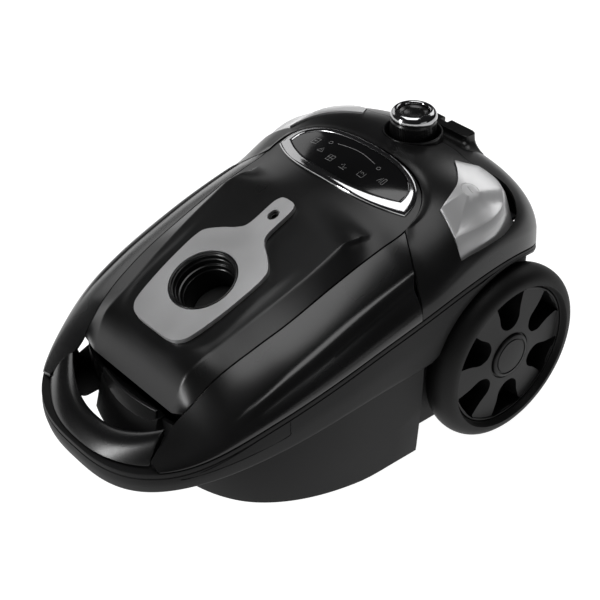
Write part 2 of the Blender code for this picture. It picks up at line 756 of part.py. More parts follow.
def make_display():
    """The crescent display on the lid: a chrome bezel, a smoked lens and the board under the lid."""
    loops = []
    for i in range(48):
        angle = 2 * pi * (i + 0.5) / 48
        outer = display_outline(angle, 0.0720, -0.0700, 0.0345, 0.0190)
        inner = display_outline(angle, 0.0625, -0.0655, 0.0245, 0.0170)
        z_out = lid_height(*outer) + GAP + 0.0006
        z_in = lid_height(*inner) + GAP + 0.0006
        loops.append([Vector((*outer, z_out)), Vector((*outer, z_out + 0.0014)),
                      Vector((*inner, z_in + 0.0022)), Vector((*inner, z_in))])
    bezel = loft("display_bezel", loops, None, joined=True)
    place_object(bezel, CHROME, "lid_pivot")
    top = []
    under = []
    for x in spread(-0.0600, 0.0600, 15):
        angle = acos(x / 0.0615)
        rear = display_outline(angle, 0.0615, -0.0655, 0.0236, 0.0162)[1]
        front = display_outline(-angle, 0.0615, -0.0655, 0.0236, 0.0162)[1]
        row = [Vector((x, y, lid_height(x, y) + 0.0014)) for y in spread(front, rear, 6)]
        top.append([point + Vector((0, 0, 0.0010)) for point in row])
        under.append(row)
    shell("display_lens", top, under, SMOKED, "lid_pivot")
    box("display_board", (0.056, 0.020, 0.0016), (0, -0.0640, 0.2000), BOARD, "lid_pivot", tilt=radians(8))


def make_latch():
    pivot("latch_pivot", (0, -0.2765, 0.1020), "lid_pivot")
    outer = []
    inner = []
    for x in spread(-0.034, 0.034, 7):
        bow = 0.004 * (x / 0.034) ** 2
        outer.append([Vector((x, -0.2790 + bow, 0.1040)), Vector((x, -0.2800 + bow, 0.0900))])
        inner.append([Vector((x, -0.2760 + bow, 0.1040)), Vector((x, -0.2770 + bow, 0.0900))])
    shell("lid_latch", outer, inner, MATTE_BLACK, "latch_pivot")


# ---- knob ----------------------------------------------------------------
def make_knob():
    pivot("knob_pivot", (0, KNOB_Y, 0.220))
    base = Vector((0, KNOB_Y, 0.0))
    up = (0, 0, 1)
    turned("suction_knob", [(0.0030, 0.2060), (0.0172, 0.2060), (KNOB_RADIUS, 0.2075), (KNOB_RADIUS, 0.2290),
                            (0.0165, 0.2300), (0.0030, 0.2300)], base, up, GLOSS_BLACK, "knob_pivot", steps=36)
    turned("knob_ring", [(0.0183, 0.2304), (0.0186, 0.2330), (0.0165, 0.2368), (0.0135, 0.2378),
                         (0.0120, 0.2360), (0.0120, 0.2304)], base, up, CHROME, "knob_pivot", steps=36)
    rod("knob_cap", 0.0115, 0.0040, (0, KNOB_Y, 0.2328), up, GLOSS_BLACK, "knob_pivot", sides=24)
    rod("knob_spindle", 0.0026, 0.0480, (0, KNOB_Y, 0.2060), up, STEEL, "knob_pivot", sides=12)
    turned("knob_collar", [(0.0200, 0.1980), (0.0240, 0.1980), (0.0240, 0.2182), (0.0222, 0.2182),
                           (0.0205, 0.2050)], base, up, SATIN_BLACK)
    turned("speed_control", [(0.0032, 0.1800), (0.0110, 0.1800), (0.0110, 0.1900), (0.0032, 0.1900)],
           base, up, GREY, steps=20)


def make_bracket():
    """The bridge behind the knob, with the notch that holds the floor head's rib when the cleaner is parked."""
    outline = [(-0.032, 0.0365), (0.032, 0.0365), (0.032, BRACKET_REAR_Y), (0.004, BRACKET_REAR_Y),
               (0.004, BRACKET_REAR_Y - 0.006), (-0.004, BRACKET_REAR_Y - 0.006), (-0.004, BRACKET_REAR_Y),
               (-0.032, BRACKET_REAR_Y)]
    foot = [Vector((x, y, crown_height(x, y) + 0.0022)) for x, y in outline]
    top = [Vector((x * 0.97, y, BRACKET_TOP)) for x, y in outline]
    loft("parking_bracket", [foot, top], SATIN_BLACK)


# ---- wheels --------------------------------------------------------------
def make_wheel(word, side):
    centre = Vector((0, WHEEL_Y, WHEEL_RADIUS))
    body = word + "_wheel_pivot"
    pivot(body, (side * 0.123, WHEEL_Y, WHEEL_RADIUS))
    axis = (side, 0, 0)
    middle = (WHEEL_IN + WHEEL_OUT) / 2
    tyre = []
    for i in range(9):
        angle = pi * i / 8
        tyre.append((0.0625 + 0.0125 * sin(angle), middle + 0.015 * cos(angle)))
    tyre += [(RIM_RADIUS, WHEEL_IN + 0.002), (RIM_RADIUS, WHEEL_OUT - 0.004)]
    turned(word + "_tyre", tyre, centre, axis, RUBBER, body, steps=36)
    windows = []
    for spoke in range(6):
        middle_angle = 2 * pi * (spoke + 0.5) / 6
        window = []
        for reach, swing in ((0.026, -0.12), (0.030, -0.22), (0.055, -0.30), (0.055, 0.0), (0.055, 0.30),
                             (0.030, 0.22), (0.026, 0.12)):
            window.append((reach * cos(middle_angle + swing), reach * sin(middle_angle + swing)))
        windows.append(window)
    turn = Matrix.Rotation(side * pi / 2, 4, "Y")
    shift = Matrix.Translation(Vector((side * 0.1235, WHEEL_Y, WHEEL_RADIUS)) - PIVOTS[body][1])
    hub = flat(word + "_hub", [circle(RIM_RADIUS - GAP, 36), circle(AXLE_RADIUS + 0.0006, 12)] + windows,
               0.018, SATIN_BLACK, shift @ turn)
    hub.parent = PIVOTS[body][0]
    rod(word + "_hub_cap", 0.0190, 0.0022, (side * 0.1343, WHEEL_Y, WHEEL_RADIUS), axis, SATIN_BLACK, body, sides=24)
    rod(word + "_axle", AXLE_RADIUS, 0.0300, (side * 0.1165, WHEEL_Y, WHEEL_RADIUS), axis, STEEL, sides=12)


def make_castor():
    pivot("castor_pivot", (0, -0.228, 0.020))
    pivot("castor_wheel_pivot", (0, -0.219, 0.0125), "castor_pivot")
    plate = box("castor_fork", (0.026, 0.020, 0.0020), (0, -0.2262, 0.0270), GREY, "castor_pivot")
    for side in (-1, 1):
        cheek = box("cheek_shape", (0.0025, 0.012, 0.0210), (side * 0.0115, -0.2200, 0.0172), None,
                    collection=CUTTERS)
        join(plate, cheek)
    stem = rod("stem_shape", 0.0048, 0.0150, (0, -0.228, 0.0350), (0, 0, 1), None, sides=16, collection=CUTTERS)
    join(plate, stem)
    turned("castor_wheel", [(0.0024, -0.0085), (0.0110, -0.0085), (0.0125, -0.0060), (0.0125, 0.0060),
                            (0.0110, 0.0085), (0.0024, 0.0085)], (0, -0.219, 0.0125), (1, 0, 0), RUBBER,
           "castor_wheel_pivot", steps=24)
    rod("castor_axle", 0.0018, 0.0190, (0, -0.219, 0.0125), (1, 0, 0), STEEL, "castor_pivot", sides=10)


def join(obj, piece):
    """Adds a piece to a body with a Boolean union."""
    piece.hide_render = True
    piece.display_type = "WIRE"
    modifier = obj.modifiers.new("join_" + piece.name, "BOOLEAN")
    modifier.operation = "UNION"
    modifier.solver = "EXACT"
    modifier.object = piece


# ---- inside --------------------------------------------------------------
def make_inside():
    box("compartment_bulkhead", (0.168, 0.003, 0.072), (0, BULKHEAD_Y, 0.073), GREY)
    box("motor_filter", (0.090, 0.006, 0.060), (0, BULKHEAD_Y - 0.0075, 0.070), FOAM)
    bag = []
    for z, half, front, rear in ((0.046, 0.055, -0.215, -0.120), (0.056, 0.076, -0.238, -0.102),
                                 (0.082, 0.082, -0.243, -0.096), (0.102, 0.074, -0.236, -0.100),
                                 (0.112, 0.050, -0.215, -0.120)):
        loop = []
        for i in range(20):
            angle = 2 * pi * i / 20
            x = half * abs(cos(angle)) ** 0.7 * (1 if cos(angle) >= 0 else -1)
            y = (front + rear) / 2 + (rear - front) / 2 * abs(sin(angle)) ** 0.7 * (1 if sin(angle) >= 0 else -1)
            loop.append(Vector((x, y, z)))
        bag.append(loop)
    loft("dust_bag", bag, WHITE)
    seat = Matrix.Translation((0, -0.190, 0.1190))
    flat("bag_holder", [[(-0.050, -0.045), (0.050, -0.045), (0.050, 0.045), (-0.050, 0.045)], circle(0.021, 24)],
         0.003, PAPER, seat)
    along = (0, 1, 0)
    motor = Vector((0, -0.022, 0.105))
    turned("motor_can", [(0.0060, -0.030), (0.0370, -0.030), (0.0390, -0.026), (0.0390, 0.028), (0.0340, 0.034),
                         (0.0060, 0.034)], motor, along, STEEL)
    rod("motor_shaft", 0.0040, 0.086, motor + Vector((0, 0.0, 0)), along, STEEL, "fan_pivot", sides=12)
    turned("fan_impeller", [(0.0046, -0.0420), (0.0300, -0.0400), (0.0340, -0.0345), (0.0046, -0.0320)],
           motor, along, GREY, "fan_pivot", steps=20)
    turned("motor_seal", [(0.0396, -0.018), (0.0460, -0.018), (0.0460, -0.008), (0.0396, -0.008)],
           motor, along, RUBBER, steps=28)
    reel = Vector((0, -0.015, 0.0400))
    turned("reel_drum", [(0.0052, -0.010), (0.0420, -0.010), (0.0420, -0.0085), (0.0220, -0.0080),
                         (0.0220, 0.0080), (0.0420, 0.0085), (0.0420, 0.010), (0.0052, 0.010)],
           reel, (0, 0, 1), GREY, "reel_pivot", steps=28)
    rod("reel_spindle", 0.0045, 0.0300, reel, (0, 0, 1), STEEL, sides=14)
    box("reel_brake_lever", (0.006, 0.0280, 0.0050), (-0.0560, -0.010, 0.0400), GREY, "brake_pivot")
    box("control_board", (0.0016, 0.050, 0.045), (0.060, -0.010, 0.110), BOARD)
    make_rear()


def make_rear():
    """The rear: the exhaust filter and grille, the cord's outlet, and the screws that hold the casing."""
    box("exhaust_filter", (0.100, 0.006, 0.046), (0, REAR_Y - 0.0210, 0.085), WHITE)
    slats = []
    for row in range(5):
        z = -0.0170 + row * 0.0085
        slats.append([(-0.044, z - 0.0018), (0.044, z - 0.0018), (0.044, z + 0.0018), (-0.044, z + 0.0018)])
    seat = Matrix.Translation(Vector((0, REAR_Y - 0.0050, 0.085)) - PIVOTS["grille_pivot"][1])
    seat = seat @ Matrix.Rotation(pi / 2, 4, "X")
    edge = [(-0.0515, -0.0245), (0.0515, -0.0245), (0.0515, 0.0245), (-0.0515, 0.0245)]
    grille = flat("exhaust_grille", [edge] + slats, 0.0030, SATIN_BLACK, seat)
    grille.parent = PIVOTS["grille_pivot"][0]
    turned("cord_outlet", [(0.0050, -0.006), (0.0081, -0.006), (0.0081, 0.0015), (0.0105, 0.0020),
                           (0.0105, 0.0040), (0.0050, 0.0040)], (0.070, REAR_Y - 0.0035, 0.075), (0, 1, 0), RUBBER,
           steps=20)


def centre_machine():
    """Moves the whole machine so that the middle of its length is over Y = 0."""
    centre = bpy.data.objects.new("machine_centre", None)
    PARTS.objects.link(centre)
    centre.location = (0, CENTRE_Y, 0)
    for obj in bpy.data.objects:
        if obj.parent is None and obj is not centre:
            obj.parent = centre


def make_all():
    pivot("fan_pivot", (0, -0.022, 0.105))
    pivot("reel_pivot", (0, -0.015, 0.040))
    pivot("brake_pivot", (-0.056, 0.002, 0.040))
    pivot("grille_pivot", (0, REAR_Y - 0.005, 0.0608))
    make_tub()
    make_belt()
    make_handle_cover()
    make_wing("side_wing_left", -1)
    make_wing("side_wing_right", 1)
    make_rear_casing()
    make_bracket()
    make_pedal("power_pedal", 1)
    make_pedal("rewind_pedal", -1)
    make_pedal_works()
    make_lid()
    make_display()
    make_latch()
    make_knob()
    make_wheel("left", -1)
    make_wheel("right", 1)
    make_castor()
    make_inside()
    centre_machine()


make_all()
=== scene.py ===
"""Canister vacuum cleaner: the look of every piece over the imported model.

Metres, +Z up, the front faces -Y. Lengths along Y are written from a line near the rear axle, as in
the casings' own form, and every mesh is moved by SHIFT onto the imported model.
"""

import json
from math import acos, asin, cos, pi, radians, sin, sqrt

import bmesh
import bpy
from mathutils import Matrix, Vector


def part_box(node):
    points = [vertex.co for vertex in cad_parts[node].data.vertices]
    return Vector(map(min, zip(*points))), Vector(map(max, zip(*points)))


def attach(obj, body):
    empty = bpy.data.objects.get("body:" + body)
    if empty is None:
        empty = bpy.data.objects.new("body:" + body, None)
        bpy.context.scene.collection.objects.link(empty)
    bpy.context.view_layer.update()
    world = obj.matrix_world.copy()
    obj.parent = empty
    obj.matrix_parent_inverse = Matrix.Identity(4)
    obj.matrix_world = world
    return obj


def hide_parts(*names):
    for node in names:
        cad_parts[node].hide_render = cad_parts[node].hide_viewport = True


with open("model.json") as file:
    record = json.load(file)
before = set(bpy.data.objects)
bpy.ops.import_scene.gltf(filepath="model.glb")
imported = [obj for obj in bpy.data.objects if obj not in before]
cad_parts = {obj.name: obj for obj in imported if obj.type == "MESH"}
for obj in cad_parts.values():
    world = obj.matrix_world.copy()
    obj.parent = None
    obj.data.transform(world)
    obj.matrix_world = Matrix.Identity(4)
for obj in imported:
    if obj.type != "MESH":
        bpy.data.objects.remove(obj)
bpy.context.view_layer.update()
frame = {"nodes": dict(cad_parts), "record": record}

# ---- driving dimensions -------------------------------------------------
GAP = 0.0004
FRONT_Y = -0.326
WIDE_Y = -0.090
REAR_Y = 0.065
HALF_WIDTH = 0.124
FRONT_POWER = 2.8
REAR_POWER = 4.6
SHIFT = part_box("bumper_belt")[0].y - FRONT_Y

BELT_TOP = ((-0.326, 0.082), (-0.287, 0.093), (-0.228, 0.117), (-0.150, 0.139), (-0.095, 0.150),
            (-0.030, 0.162), (0.010, 0.161), (0.065, 0.143))
BELT_LOW = ((-0.326, 0.063), (-0.285, 0.0745), (-0.224, 0.0875), (-0.150, 0.099), (-0.078, 0.103))
CROWN = ((-0.326, 0.084), (-0.300, 0.100), (-0.284, 0.1115), (-0.272, 0.122), (-0.248, 0.147),
         (-0.214, 0.1655), (-0.177, 0.180), (-0.145, 0.1925), (-0.110, 0.2045), (-0.070, 0.2150),
         (-0.033, 0.2190), (0.000, 0.2175), (0.035, 0.2080), (0.052, 0.1980), (0.0595, 0.1850),
         (0.0635, 0.1450))
PANEL = ((-0.272, -0.0120), (-0.262, 0.0), (-0.248, -0.0024), (-0.235, -0.0056), (-0.214, -0.0062),
         (-0.177, -0.0046), (-0.145, -0.0035), (-0.110, -0.0006), (-0.070, 0.0))
WING_EDGE = ((-0.304, 0.0654), (-0.2845, 0.0608), (-0.272, 0.0615))
SECTION_POWER = ((-0.326, 1.75), (-0.200, 1.75), (-0.100, 1.75), (-0.078, 1.76), (-0.045, 2.30),
                 (-0.020, 2.5), (0.065, 2.5))
SEAM_HALF = ((-0.276, 0.0592), (-0.265, 0.0630), (-0.250, 0.0662), (-0.230, 0.0700), (-0.210, 0.0732),
             (-0.190, 0.0755), (-0.150, 0.0772), (-0.110, 0.0782), (-0.076, 0.0790))
PANEL_HALF = ((-0.272, 0.049), (-0.250, 0.051), (-0.230, 0.054), (-0.190, 0.060), (-0.150, 0.064),
              (-0.100, 0.066))
TUB_FLOOR = ((-0.275, 0.046), (-0.235, 0.034), (-0.150, 0.0180), (-0.112, 0.017), (-0.018, 0.017),
             (0.065, 0.024))
UPPER_CREASE = ((-0.262, 0.745), (-0.239, 0.710), (-0.205, 0.670), (-0.156, 0.643), (-0.086, 0.643))
LOWER_CREASE = ((-0.250, 0.850), (-0.231, 0.823), (-0.205, 0.795), (-0.166, 0.765), (-0.095, 0.735))

WHEEL_Y = -0.003
WHEEL_RADIUS = 0.075
WHEEL_IN = 0.108
WHEEL_OUT = 0.138
WHEEL_SHIFT = 0.004
RIM_RADIUS = 0.060
ARCH_RADIUS = 0.0805
TUB_REAR_HALF = 0.0985
GUARD_HALF = 0.1005
TUB_FRONT_Y = -0.273
TUB_POWER = 3.4
WALL = 0.003

SEAM_Y = -0.0770
SEAM_X = 0.080
SEAM_SLOPE = -0.50
HANDLE_SEAM_Y = -0.304
HANDLE_HALF = 0.064
LID_FRONT_Y = -0.272
LID_REAR_HALF = 0.0790
LID_CORNER_Y = -0.076
LID_ARC_POWER = 2.5
LID_ARC_Y = -0.034
PLATEAU_HEIGHT = 0.0013

INLET_Y = -0.203
INLET_Z = 0.1672
INLET_TILT = radians(23.0)
INLET_NORMAL = Vector((0, -sin(INLET_TILT), cos(INLET_TILT)))
BRACKET_TOP = 0.2155
BRACKET_REAR_Y = 0.0490
KNOB_Y = 0.008
COLLAR_RADIUS = 0.0240
HOSE_HOLE_RADIUS = 0.0276

BAG_SQUARE = 0.72
BAG_MOST_SWELL = 0.0022
BAG_TOP = 0.1118
BAG_BOTTOM = 0.0462

CAMERA_LENS = 83.7
CAMERA_PLACE = (0.6885, -0.57295, 0.7429)
CAMERA_TARGET = (0.0, 0.01715, 0.108)
LIGHT_TARGET = (0.0, 0.0, 0.10)
LIGHTS = (  # name, place, width, height, power
    ("overhead_box", (-0.10, -0.10, 1.9), 1.3, 1.3, 17.0),
    ("front_strip", (-0.75, -2.05, 0.62), 0.34, 1.0, 20.0),
    ("left_box", (-2.1, 0.30, 0.85), 1.6, 0.9, 5.0),
    ("rear_box", (-0.4, 2.2, 1.5), 1.6, 0.9, 9.0),
    ("right_box", (2.3, 0.3, 0.55), 1.2, 0.5, 1.5),
)


# ---- materials -------------------------------------------------------------
def noise(tree, place, scale, detail=2.0):
    node = tree.nodes.new("ShaderNodeTexNoise")
    node.inputs["Scale"].default_value = scale
    node.inputs["Detail"].default_value = detail
    tree.links.new(place.outputs["Object"], node.inputs["Vector"])
    return node


def ramp(tree, source, low, high, start=0.35, end=0.65):
    """A colour ramp between two colours, driven by a noise."""
    node = tree.nodes.new("ShaderNodeValToRGB")
    node.color_ramp.elements[0].position = start
    node.color_ramp.elements[0].color = (*low, 1.0)
    node.color_ramp.elements[1].position = end
    node.color_ramp.elements[1].color = (*high, 1.0)
    tree.links.new(source.outputs["Fac"], node.inputs["Fac"])
    return node


def span(tree, source, low, high):
    node = tree.nodes.new("ShaderNodeMapRange")
    node.inputs["From Min"].default_value = 0.3
    node.inputs["From Max"].default_value = 0.7
    node.inputs["To Min"].default_value = low
    node.inputs["To Max"].default_value = high
    tree.links.new(source.outputs["Fac"], node.inputs["Value"])
    return node


def finish_of(name, low, high, rough, grain, depth, metallic=0.0, specular=0.5, coat=0.0, cloud=14.0,
              extra=None):
    """A moulded, painted or woven surface: slow colour change, uneven gloss and a fine grain."""
    made = bpy.data.materials.new(name)
    made.use_nodes = True
    tree = made.node_tree
    shader = tree.nodes["Principled BSDF"]
    place = tree.nodes.new("ShaderNodeTexCoord")
    slow = noise(tree, place, cloud, 3.0)
    fine = noise(tree, place, grain, 3.0)
    tree.links.new(ramp(tree, slow, low, high).outputs["Color"], shader.inputs["Base Color"])
    tree.links.new(span(tree, slow, rough[0], rough[1]).outputs["Result"], shader.inputs["Roughness"])
    bump = tree.nodes.new("ShaderNodeBump")
    bump.inputs["Strength"].default_value = 0.35
    bump.inputs["Distance"].default_value = depth
    tree.links.new(fine.outputs["Fac"], bump.inputs["Height"])
    tree.links.new(bump.outputs["Normal"], shader.inputs["Normal"])
    shader.inputs["Metallic"].default_value = metallic
    shader.inputs["Specular IOR Level"].default_value = specular
    shader.inputs["Coat Weight"].default_value = coat
    shader.inputs["Coat Roughness"].default_value = 0.06
    for socket, value in (extra or {}).items():
        shader.inputs[socket].default_value = value
    return made


def grey(value, tint=0.0):
    return (value, value, value + tint)


FINISHES = {  # low and high colour, least and most roughness, grain, depth of the grain, and the rest
    "gloss_black": (grey(0.0045), grey(0.0065, 0.0003), (0.23, 0.29), 900.0, 0.00004, {"specular": 0.5}),
    "satin_black": (grey(0.0050), grey(0.0070, 0.0003), (0.27, 0.33), 1600.0, 0.00005, {"specular": 0.34}),
    "hub_black": (grey(0.0050), grey(0.0070, 0.0003), (0.38, 0.46), 1600.0, 0.00008, {"specular": 0.17}),
    "matte_black": (grey(0.0055), grey(0.0080, 0.0004), (0.46, 0.54), 2200.0, 0.00012, {"specular": 0.14}),
    "tyre_rubber": (grey(0.0055), grey(0.0085), (0.48, 0.60), 1500.0, 0.00012, {"specular": 0.16}),
    "soft_rubber": (grey(0.0100), grey(0.0160), (0.60, 0.72), 1500.0, 0.00010, {"specular": 0.35}),
    "silver_metal": (grey(0.56, 0.004), grey(0.64, 0.006), (0.36, 0.43), 3200.0, 0.00006,
                     {"metallic": 0.85}),
    "silver_paint": (grey(0.66, 0.004), grey(0.74, 0.006), (0.30, 0.37), 2600.0, 0.00004,
                     {"metallic": 0.55, "coat": 0.35}),
    "chrome": (grey(0.34, 0.004), grey(0.42, 0.004), (0.08, 0.15), 260.0, 0.00010, {"metallic": 1.0}),
    "steel": (grey(0.42, 0.004), grey(0.55, 0.006), (0.26, 0.36), 700.0, 0.00006, {"metallic": 1.0}),
    "smoked_lens": (grey(0.0040), grey(0.0065, 0.0006), (0.08, 0.12), 500.0, 0.00002, {"specular": 0.5}),
    "grey_plastic": (grey(0.16), grey(0.20, 0.006), (0.42, 0.52), 1800.0, 0.00008, {}),
    "card": ((0.62, 0.57, 0.47), (0.72, 0.67, 0.57), (0.80, 0.92), 1100.0, 0.00025, {"cloud": 60.0}),
    "foam": ((0.05, 0.055, 0.06), (0.11, 0.12, 0.13), (0.90, 0.98), 900.0, 0.0009, {"cloud": 420.0}),
    "circuit_board": ((0.010, 0.07, 0.03), (0.02, 0.15, 0.06), (0.35, 0.5), 900.0, 0.00010,
                      {"cloud": 160.0}),
    "fleece": ((0.66, 0.65, 0.61), (0.84, 0.83, 0.80), (0.88, 0.97), 1400.0, 0.0005,
               {"cloud": 110.0, "extra": {"Sheen Weight": 0.35, "Sheen Roughness": 0.5}}),
    "white_plastic": (grey(0.72), grey(0.80), (0.35, 0.45), 1500.0, 0.00005, {}),
    "print_grey": (grey(0.24), grey(0.30), (0.45, 0.6), 900.0, 0.00002, {}),
}
LOOKS = {name: finish_of(name, *row[:-1], **row[-1]) for name, row in FINISHES.items()}


# ---- mesh helpers ------------------------------------------------------------
def mesh_object(bm, name):
    bmesh.ops.remove_doubles(bm, verts=bm.verts, dist=1e-6)
    bmesh.ops.dissolve_degenerate(bm, edges=bm.edges, dist=1e-6)
    bmesh.ops.recalc_face_normals(bm, faces=bm.faces)
    if bm.calc_volume(signed=True) < 0:
        bmesh.ops.reverse_faces(bm, faces=bm.faces)
    mesh = bpy.data.meshes.new(name)
    bm.to_mesh(mesh)
    bm.free()
    obj = bpy.data.objects.new(name, mesh)
    bpy.context.scene.collection.objects.link(obj)
    return obj


def bake(obj):
    """Applies the modifiers to the mesh."""
    bpy.context.view_layer.update()
    graph = bpy.context.evaluated_depsgraph_get()
    mesh = bpy.data.meshes.new_from_object(obj.evaluated_get(graph))
    obj.modifiers.clear()
    obj.data = mesh


def carve(obj, *cutters):
    for cutter in cutters:
        modifier = obj.modifiers.new("cut", "BOOLEAN")
        modifier.operation = "DIFFERENCE"
        modifier.solver = "MANIFOLD"
        modifier.object = cutter
    bake(obj)
    for cutter in cutters:
        bpy.data.objects.remove(cutter)


def dress(obj, look, body, nodes=(), bevel=0.0, angle=40.0, segments=2):
    """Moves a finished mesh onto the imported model, rounds its edges and gives it its material and body."""
    obj.data.transform(Matrix.Translation((0, SHIFT, 0)))
    obj.data.materials.clear()
    obj.data.materials.append(LOOKS[look])
    if bevel:
        modifier = obj.modifiers.new("edges", "BEVEL")
        modifier.width = bevel
        modifier.segments = segments
        modifier.limit_method = "ANGLE"
        modifier.angle_limit = radians(angle)
        modifier.use_clamp_overlap = True
        modifier.harden_normals = False
        bake(obj)
    for face in obj.data.polygons:
        face.use_smooth = True
    obj.data.set_sharp_from_angle(angle=radians(48.0 if bevel else angle))
    modifier = obj.modifiers.new("shading", "WEIGHTED_NORMAL")
    modifier.keep_sharp = True
    bake(obj)
    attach(obj, body)
    if nodes:
        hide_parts(*nodes)
    return obj


def strip_cap(bm, row):
    """Closes a loop that is symmetric about X = 0 with faces across it."""
    count = len(row)
    for i in range(count // 2):
        corners = []
        for index in (i, i + 1, count - i - 1, (count - i) % count):
            if row[index] not in corners:
                corners.append(row[index])
        bm.faces.new(corners)


def ring_faces(bm, first, second):
    """The band of faces between two rings of as many vertices."""
    count = len(first)
    for i in range(count):
        k = (i + 1) % count
        bm.faces.new((first[i], first[k], second[k], second[i]))


def loft(name, loops, joined=False, strips=False):
    """A closed solid through closed loops of points, capped at both ends or joined into a ring."""
    bm = bmesh.new()
    rows = [[bm.verts.new(point) for point in loop] for loop in loops]
    pairs = list(zip(rows, rows[1:]))
    if joined:
        pairs.append((rows[-1], rows[0]))
    for first, second in pairs:
        ring_faces(bm, first, second)
    if strips:
        strip_cap(bm, rows[0])
        strip_cap(bm, rows[-1])
    elif not joined:
        bm.faces.new(rows[0])
        bm.faces.new(rows[-1])
    return mesh_object(bm, name)


def shell(name, outer, inner):
    """A thin closed solid between two grids of points of the same size."""
    bm = bmesh.new()
    tops = [[bm.verts.new(point) for point in row] for row in outer]
    unders = [[bm.verts.new(point) for point in row] for row in inner]
    end = len(tops) - 1
    last = len(tops[0]) - 1
    for i in range(end):
        for k in range(last):
            bm.faces.new((tops[i][k], tops[i][k + 1], tops[i + 1][k + 1], tops[i + 1][k]))
            bm.faces.new((unders[i][k], unders[i + 1][k], unders[i + 1][k + 1], unders[i][k + 1]))
    for k in range(last):
        bm.faces.new((tops[0][k], unders[0][k], unders[0][k + 1], tops[0][k + 1]))
        bm.faces.new((tops[end][k], tops[end][k + 1], unders[end][k + 1], unders[end][k]))
    for i in range(end):
        bm.faces.new((tops[i][0], tops[i + 1][0], unders[i + 1][0], unders[i][0]))
        bm.faces.new((tops[i][last], unders[i][last], unders[i + 1][last], tops[i + 1][last]))
    return mesh_object(bm, name)


def block(name, size, place):
    bm = bmesh.new()
    bmesh.ops.create_cube(bm, size=1.0)
    bmesh.ops.scale(bm, vec=size, verts=bm.verts)
    bmesh.ops.translate(bm, vec=place, verts=bm.verts)
    return mesh_object(bm, name)


def rod(name, radius, length, place, axis, sides=48):
    bm = bmesh.new()
    bmesh.ops.create_cone(bm, cap_ends=True, segments=sides, radius1=radius, radius2=radius, depth=length)
    turn = Vector((0, 0, 1)).rotation_difference(Vector(axis).normalized()).to_matrix()
    bmesh.ops.rotate(bm, matrix=turn, verts=bm.verts)
    bmesh.ops.translate(bm, vec=place, verts=bm.verts)
    return mesh_object(bm, name)


def turned(name, profile, place, axis, steps=96, ripple=None):
    """A solid turned about an axis. The profile is (radius, distance along the axis)."""
    direction = Vector(axis).normalized()
    side = direction.orthogonal().normalized()
    across = direction.cross(side)
    loops = []
    for step in range(steps):
        angle = 2 * pi * step / steps
        out = side * cos(angle) + across * sin(angle)
        loop = []
        for radius, along in profile:
            grown = radius + (ripple(step, radius, along) if ripple else 0.0)
            loop.append(Vector(place) + out * grown + direction * along)
        loops.append(loop)
    return loft(name, loops, joined=True)


def rounded(corners, radius, steps=5):
    """A profile or outline with every corner of it rounded."""
    points = []
    count = len(corners)
    for i, corner in enumerate(corners):
        here = Vector(corner)
        before = Vector(corners[i - 1])
        after = Vector(corners[(i + 1) % count])
        back = min(radius, (before - here).length * 0.45)
        ahead = min(radius, (after - here).length * 0.45)
        first = here + (before - here).normalized() * back
        last = here + (after - here).normalized() * ahead
        for step in range(steps + 1):
            t = step / steps
            points.append(tuple(first * (1 - t) ** 2 + here * 2 * t * (1 - t) + last * t * t))
    return points


def flowing(points, steps=6, closed=True):
    """A smooth curve through points."""
    count = len(points)
    made = []
    for i in range(count if closed else count - 1):
        a = Vector(points[(i - 1) % count] if closed or i > 0 else points[i])
        b = Vector(points[i])
        c = Vector(points[(i + 1) % count])
        d = Vector(points[(i + 2) % count] if closed or i + 2 < count else points[i + 1])
        for step in range(steps):
            t = step / steps
            made.append(0.5 * (2 * b + (c - a) * t + (2 * a - 5 * b + 4 * c - d) * t * t
                               + (3 * b - a - 3 * c + d) * t**3))
    if not closed:
        made.append(Vector(points[-1]))
    return made


def outline_mesh(name, outlines, thickness, matrix):
    """A flat piece from closed outlines, the first of them the outside and the rest holes."""
    curve = bpy.data.curves.new(name, "CURVE")
    curve.dimensions = "2D"
    curve.fill_mode = "BOTH"
    curve.extrude = thickness / 2
    for outline in outlines:
        spline = curve.splines.new("POLY")
        spline.points.add(len(outline) - 1)
        for point, spot in zip(spline.points, outline):
            point.co = (spot[0], spot[1], 0, 1)
        spline.use_cyclic_u = True
    helper = bpy.data.objects.new(name + "_helper", curve)
    bpy.context.scene.collection.objects.link(helper)
    bpy.context.view_layer.update()
    mesh = bpy.data.meshes.new_from_object(helper.evaluated_get(bpy.context.evaluated_depsgraph_get()))
    bpy.data.objects.remove(helper)
    bm = bmesh.new()
    bm.from_mesh(mesh)
    bmesh.ops.remove_doubles(bm, verts=bm.verts, dist=1e-6)
    bmesh.ops.transform(bm, matrix=matrix, verts=bm.verts)
    return mesh_object(bm, name)


def tube(name, points, radius, sides=8, closed=False):
    """A thin round tube through points, for fine lines and grooves."""
    loops = []
    count = len(points)
    for i, point in enumerate(points):
        before = points[i - 1] if closed or i > 0 else point
        after = points[(i + 1) % count] if closed or i + 1 < count else point
        along = (Vector(after) - Vector(before)).normalized()
        side = along.cross(Vector((0, 0, 1)))
        if side.length < 1e-4:
            side = along.cross(Vector((1, 0, 0)))
        side.normalize()
        lift = side.cross(along).normalized()
        loops.append([Vector(point) + side * (radius * cos(2 * pi * s / sides))
                      + lift * (radius * sin(2 * pi * s / sides)) for s in range(sides)])
    return loft(name, loops, joined=closed)


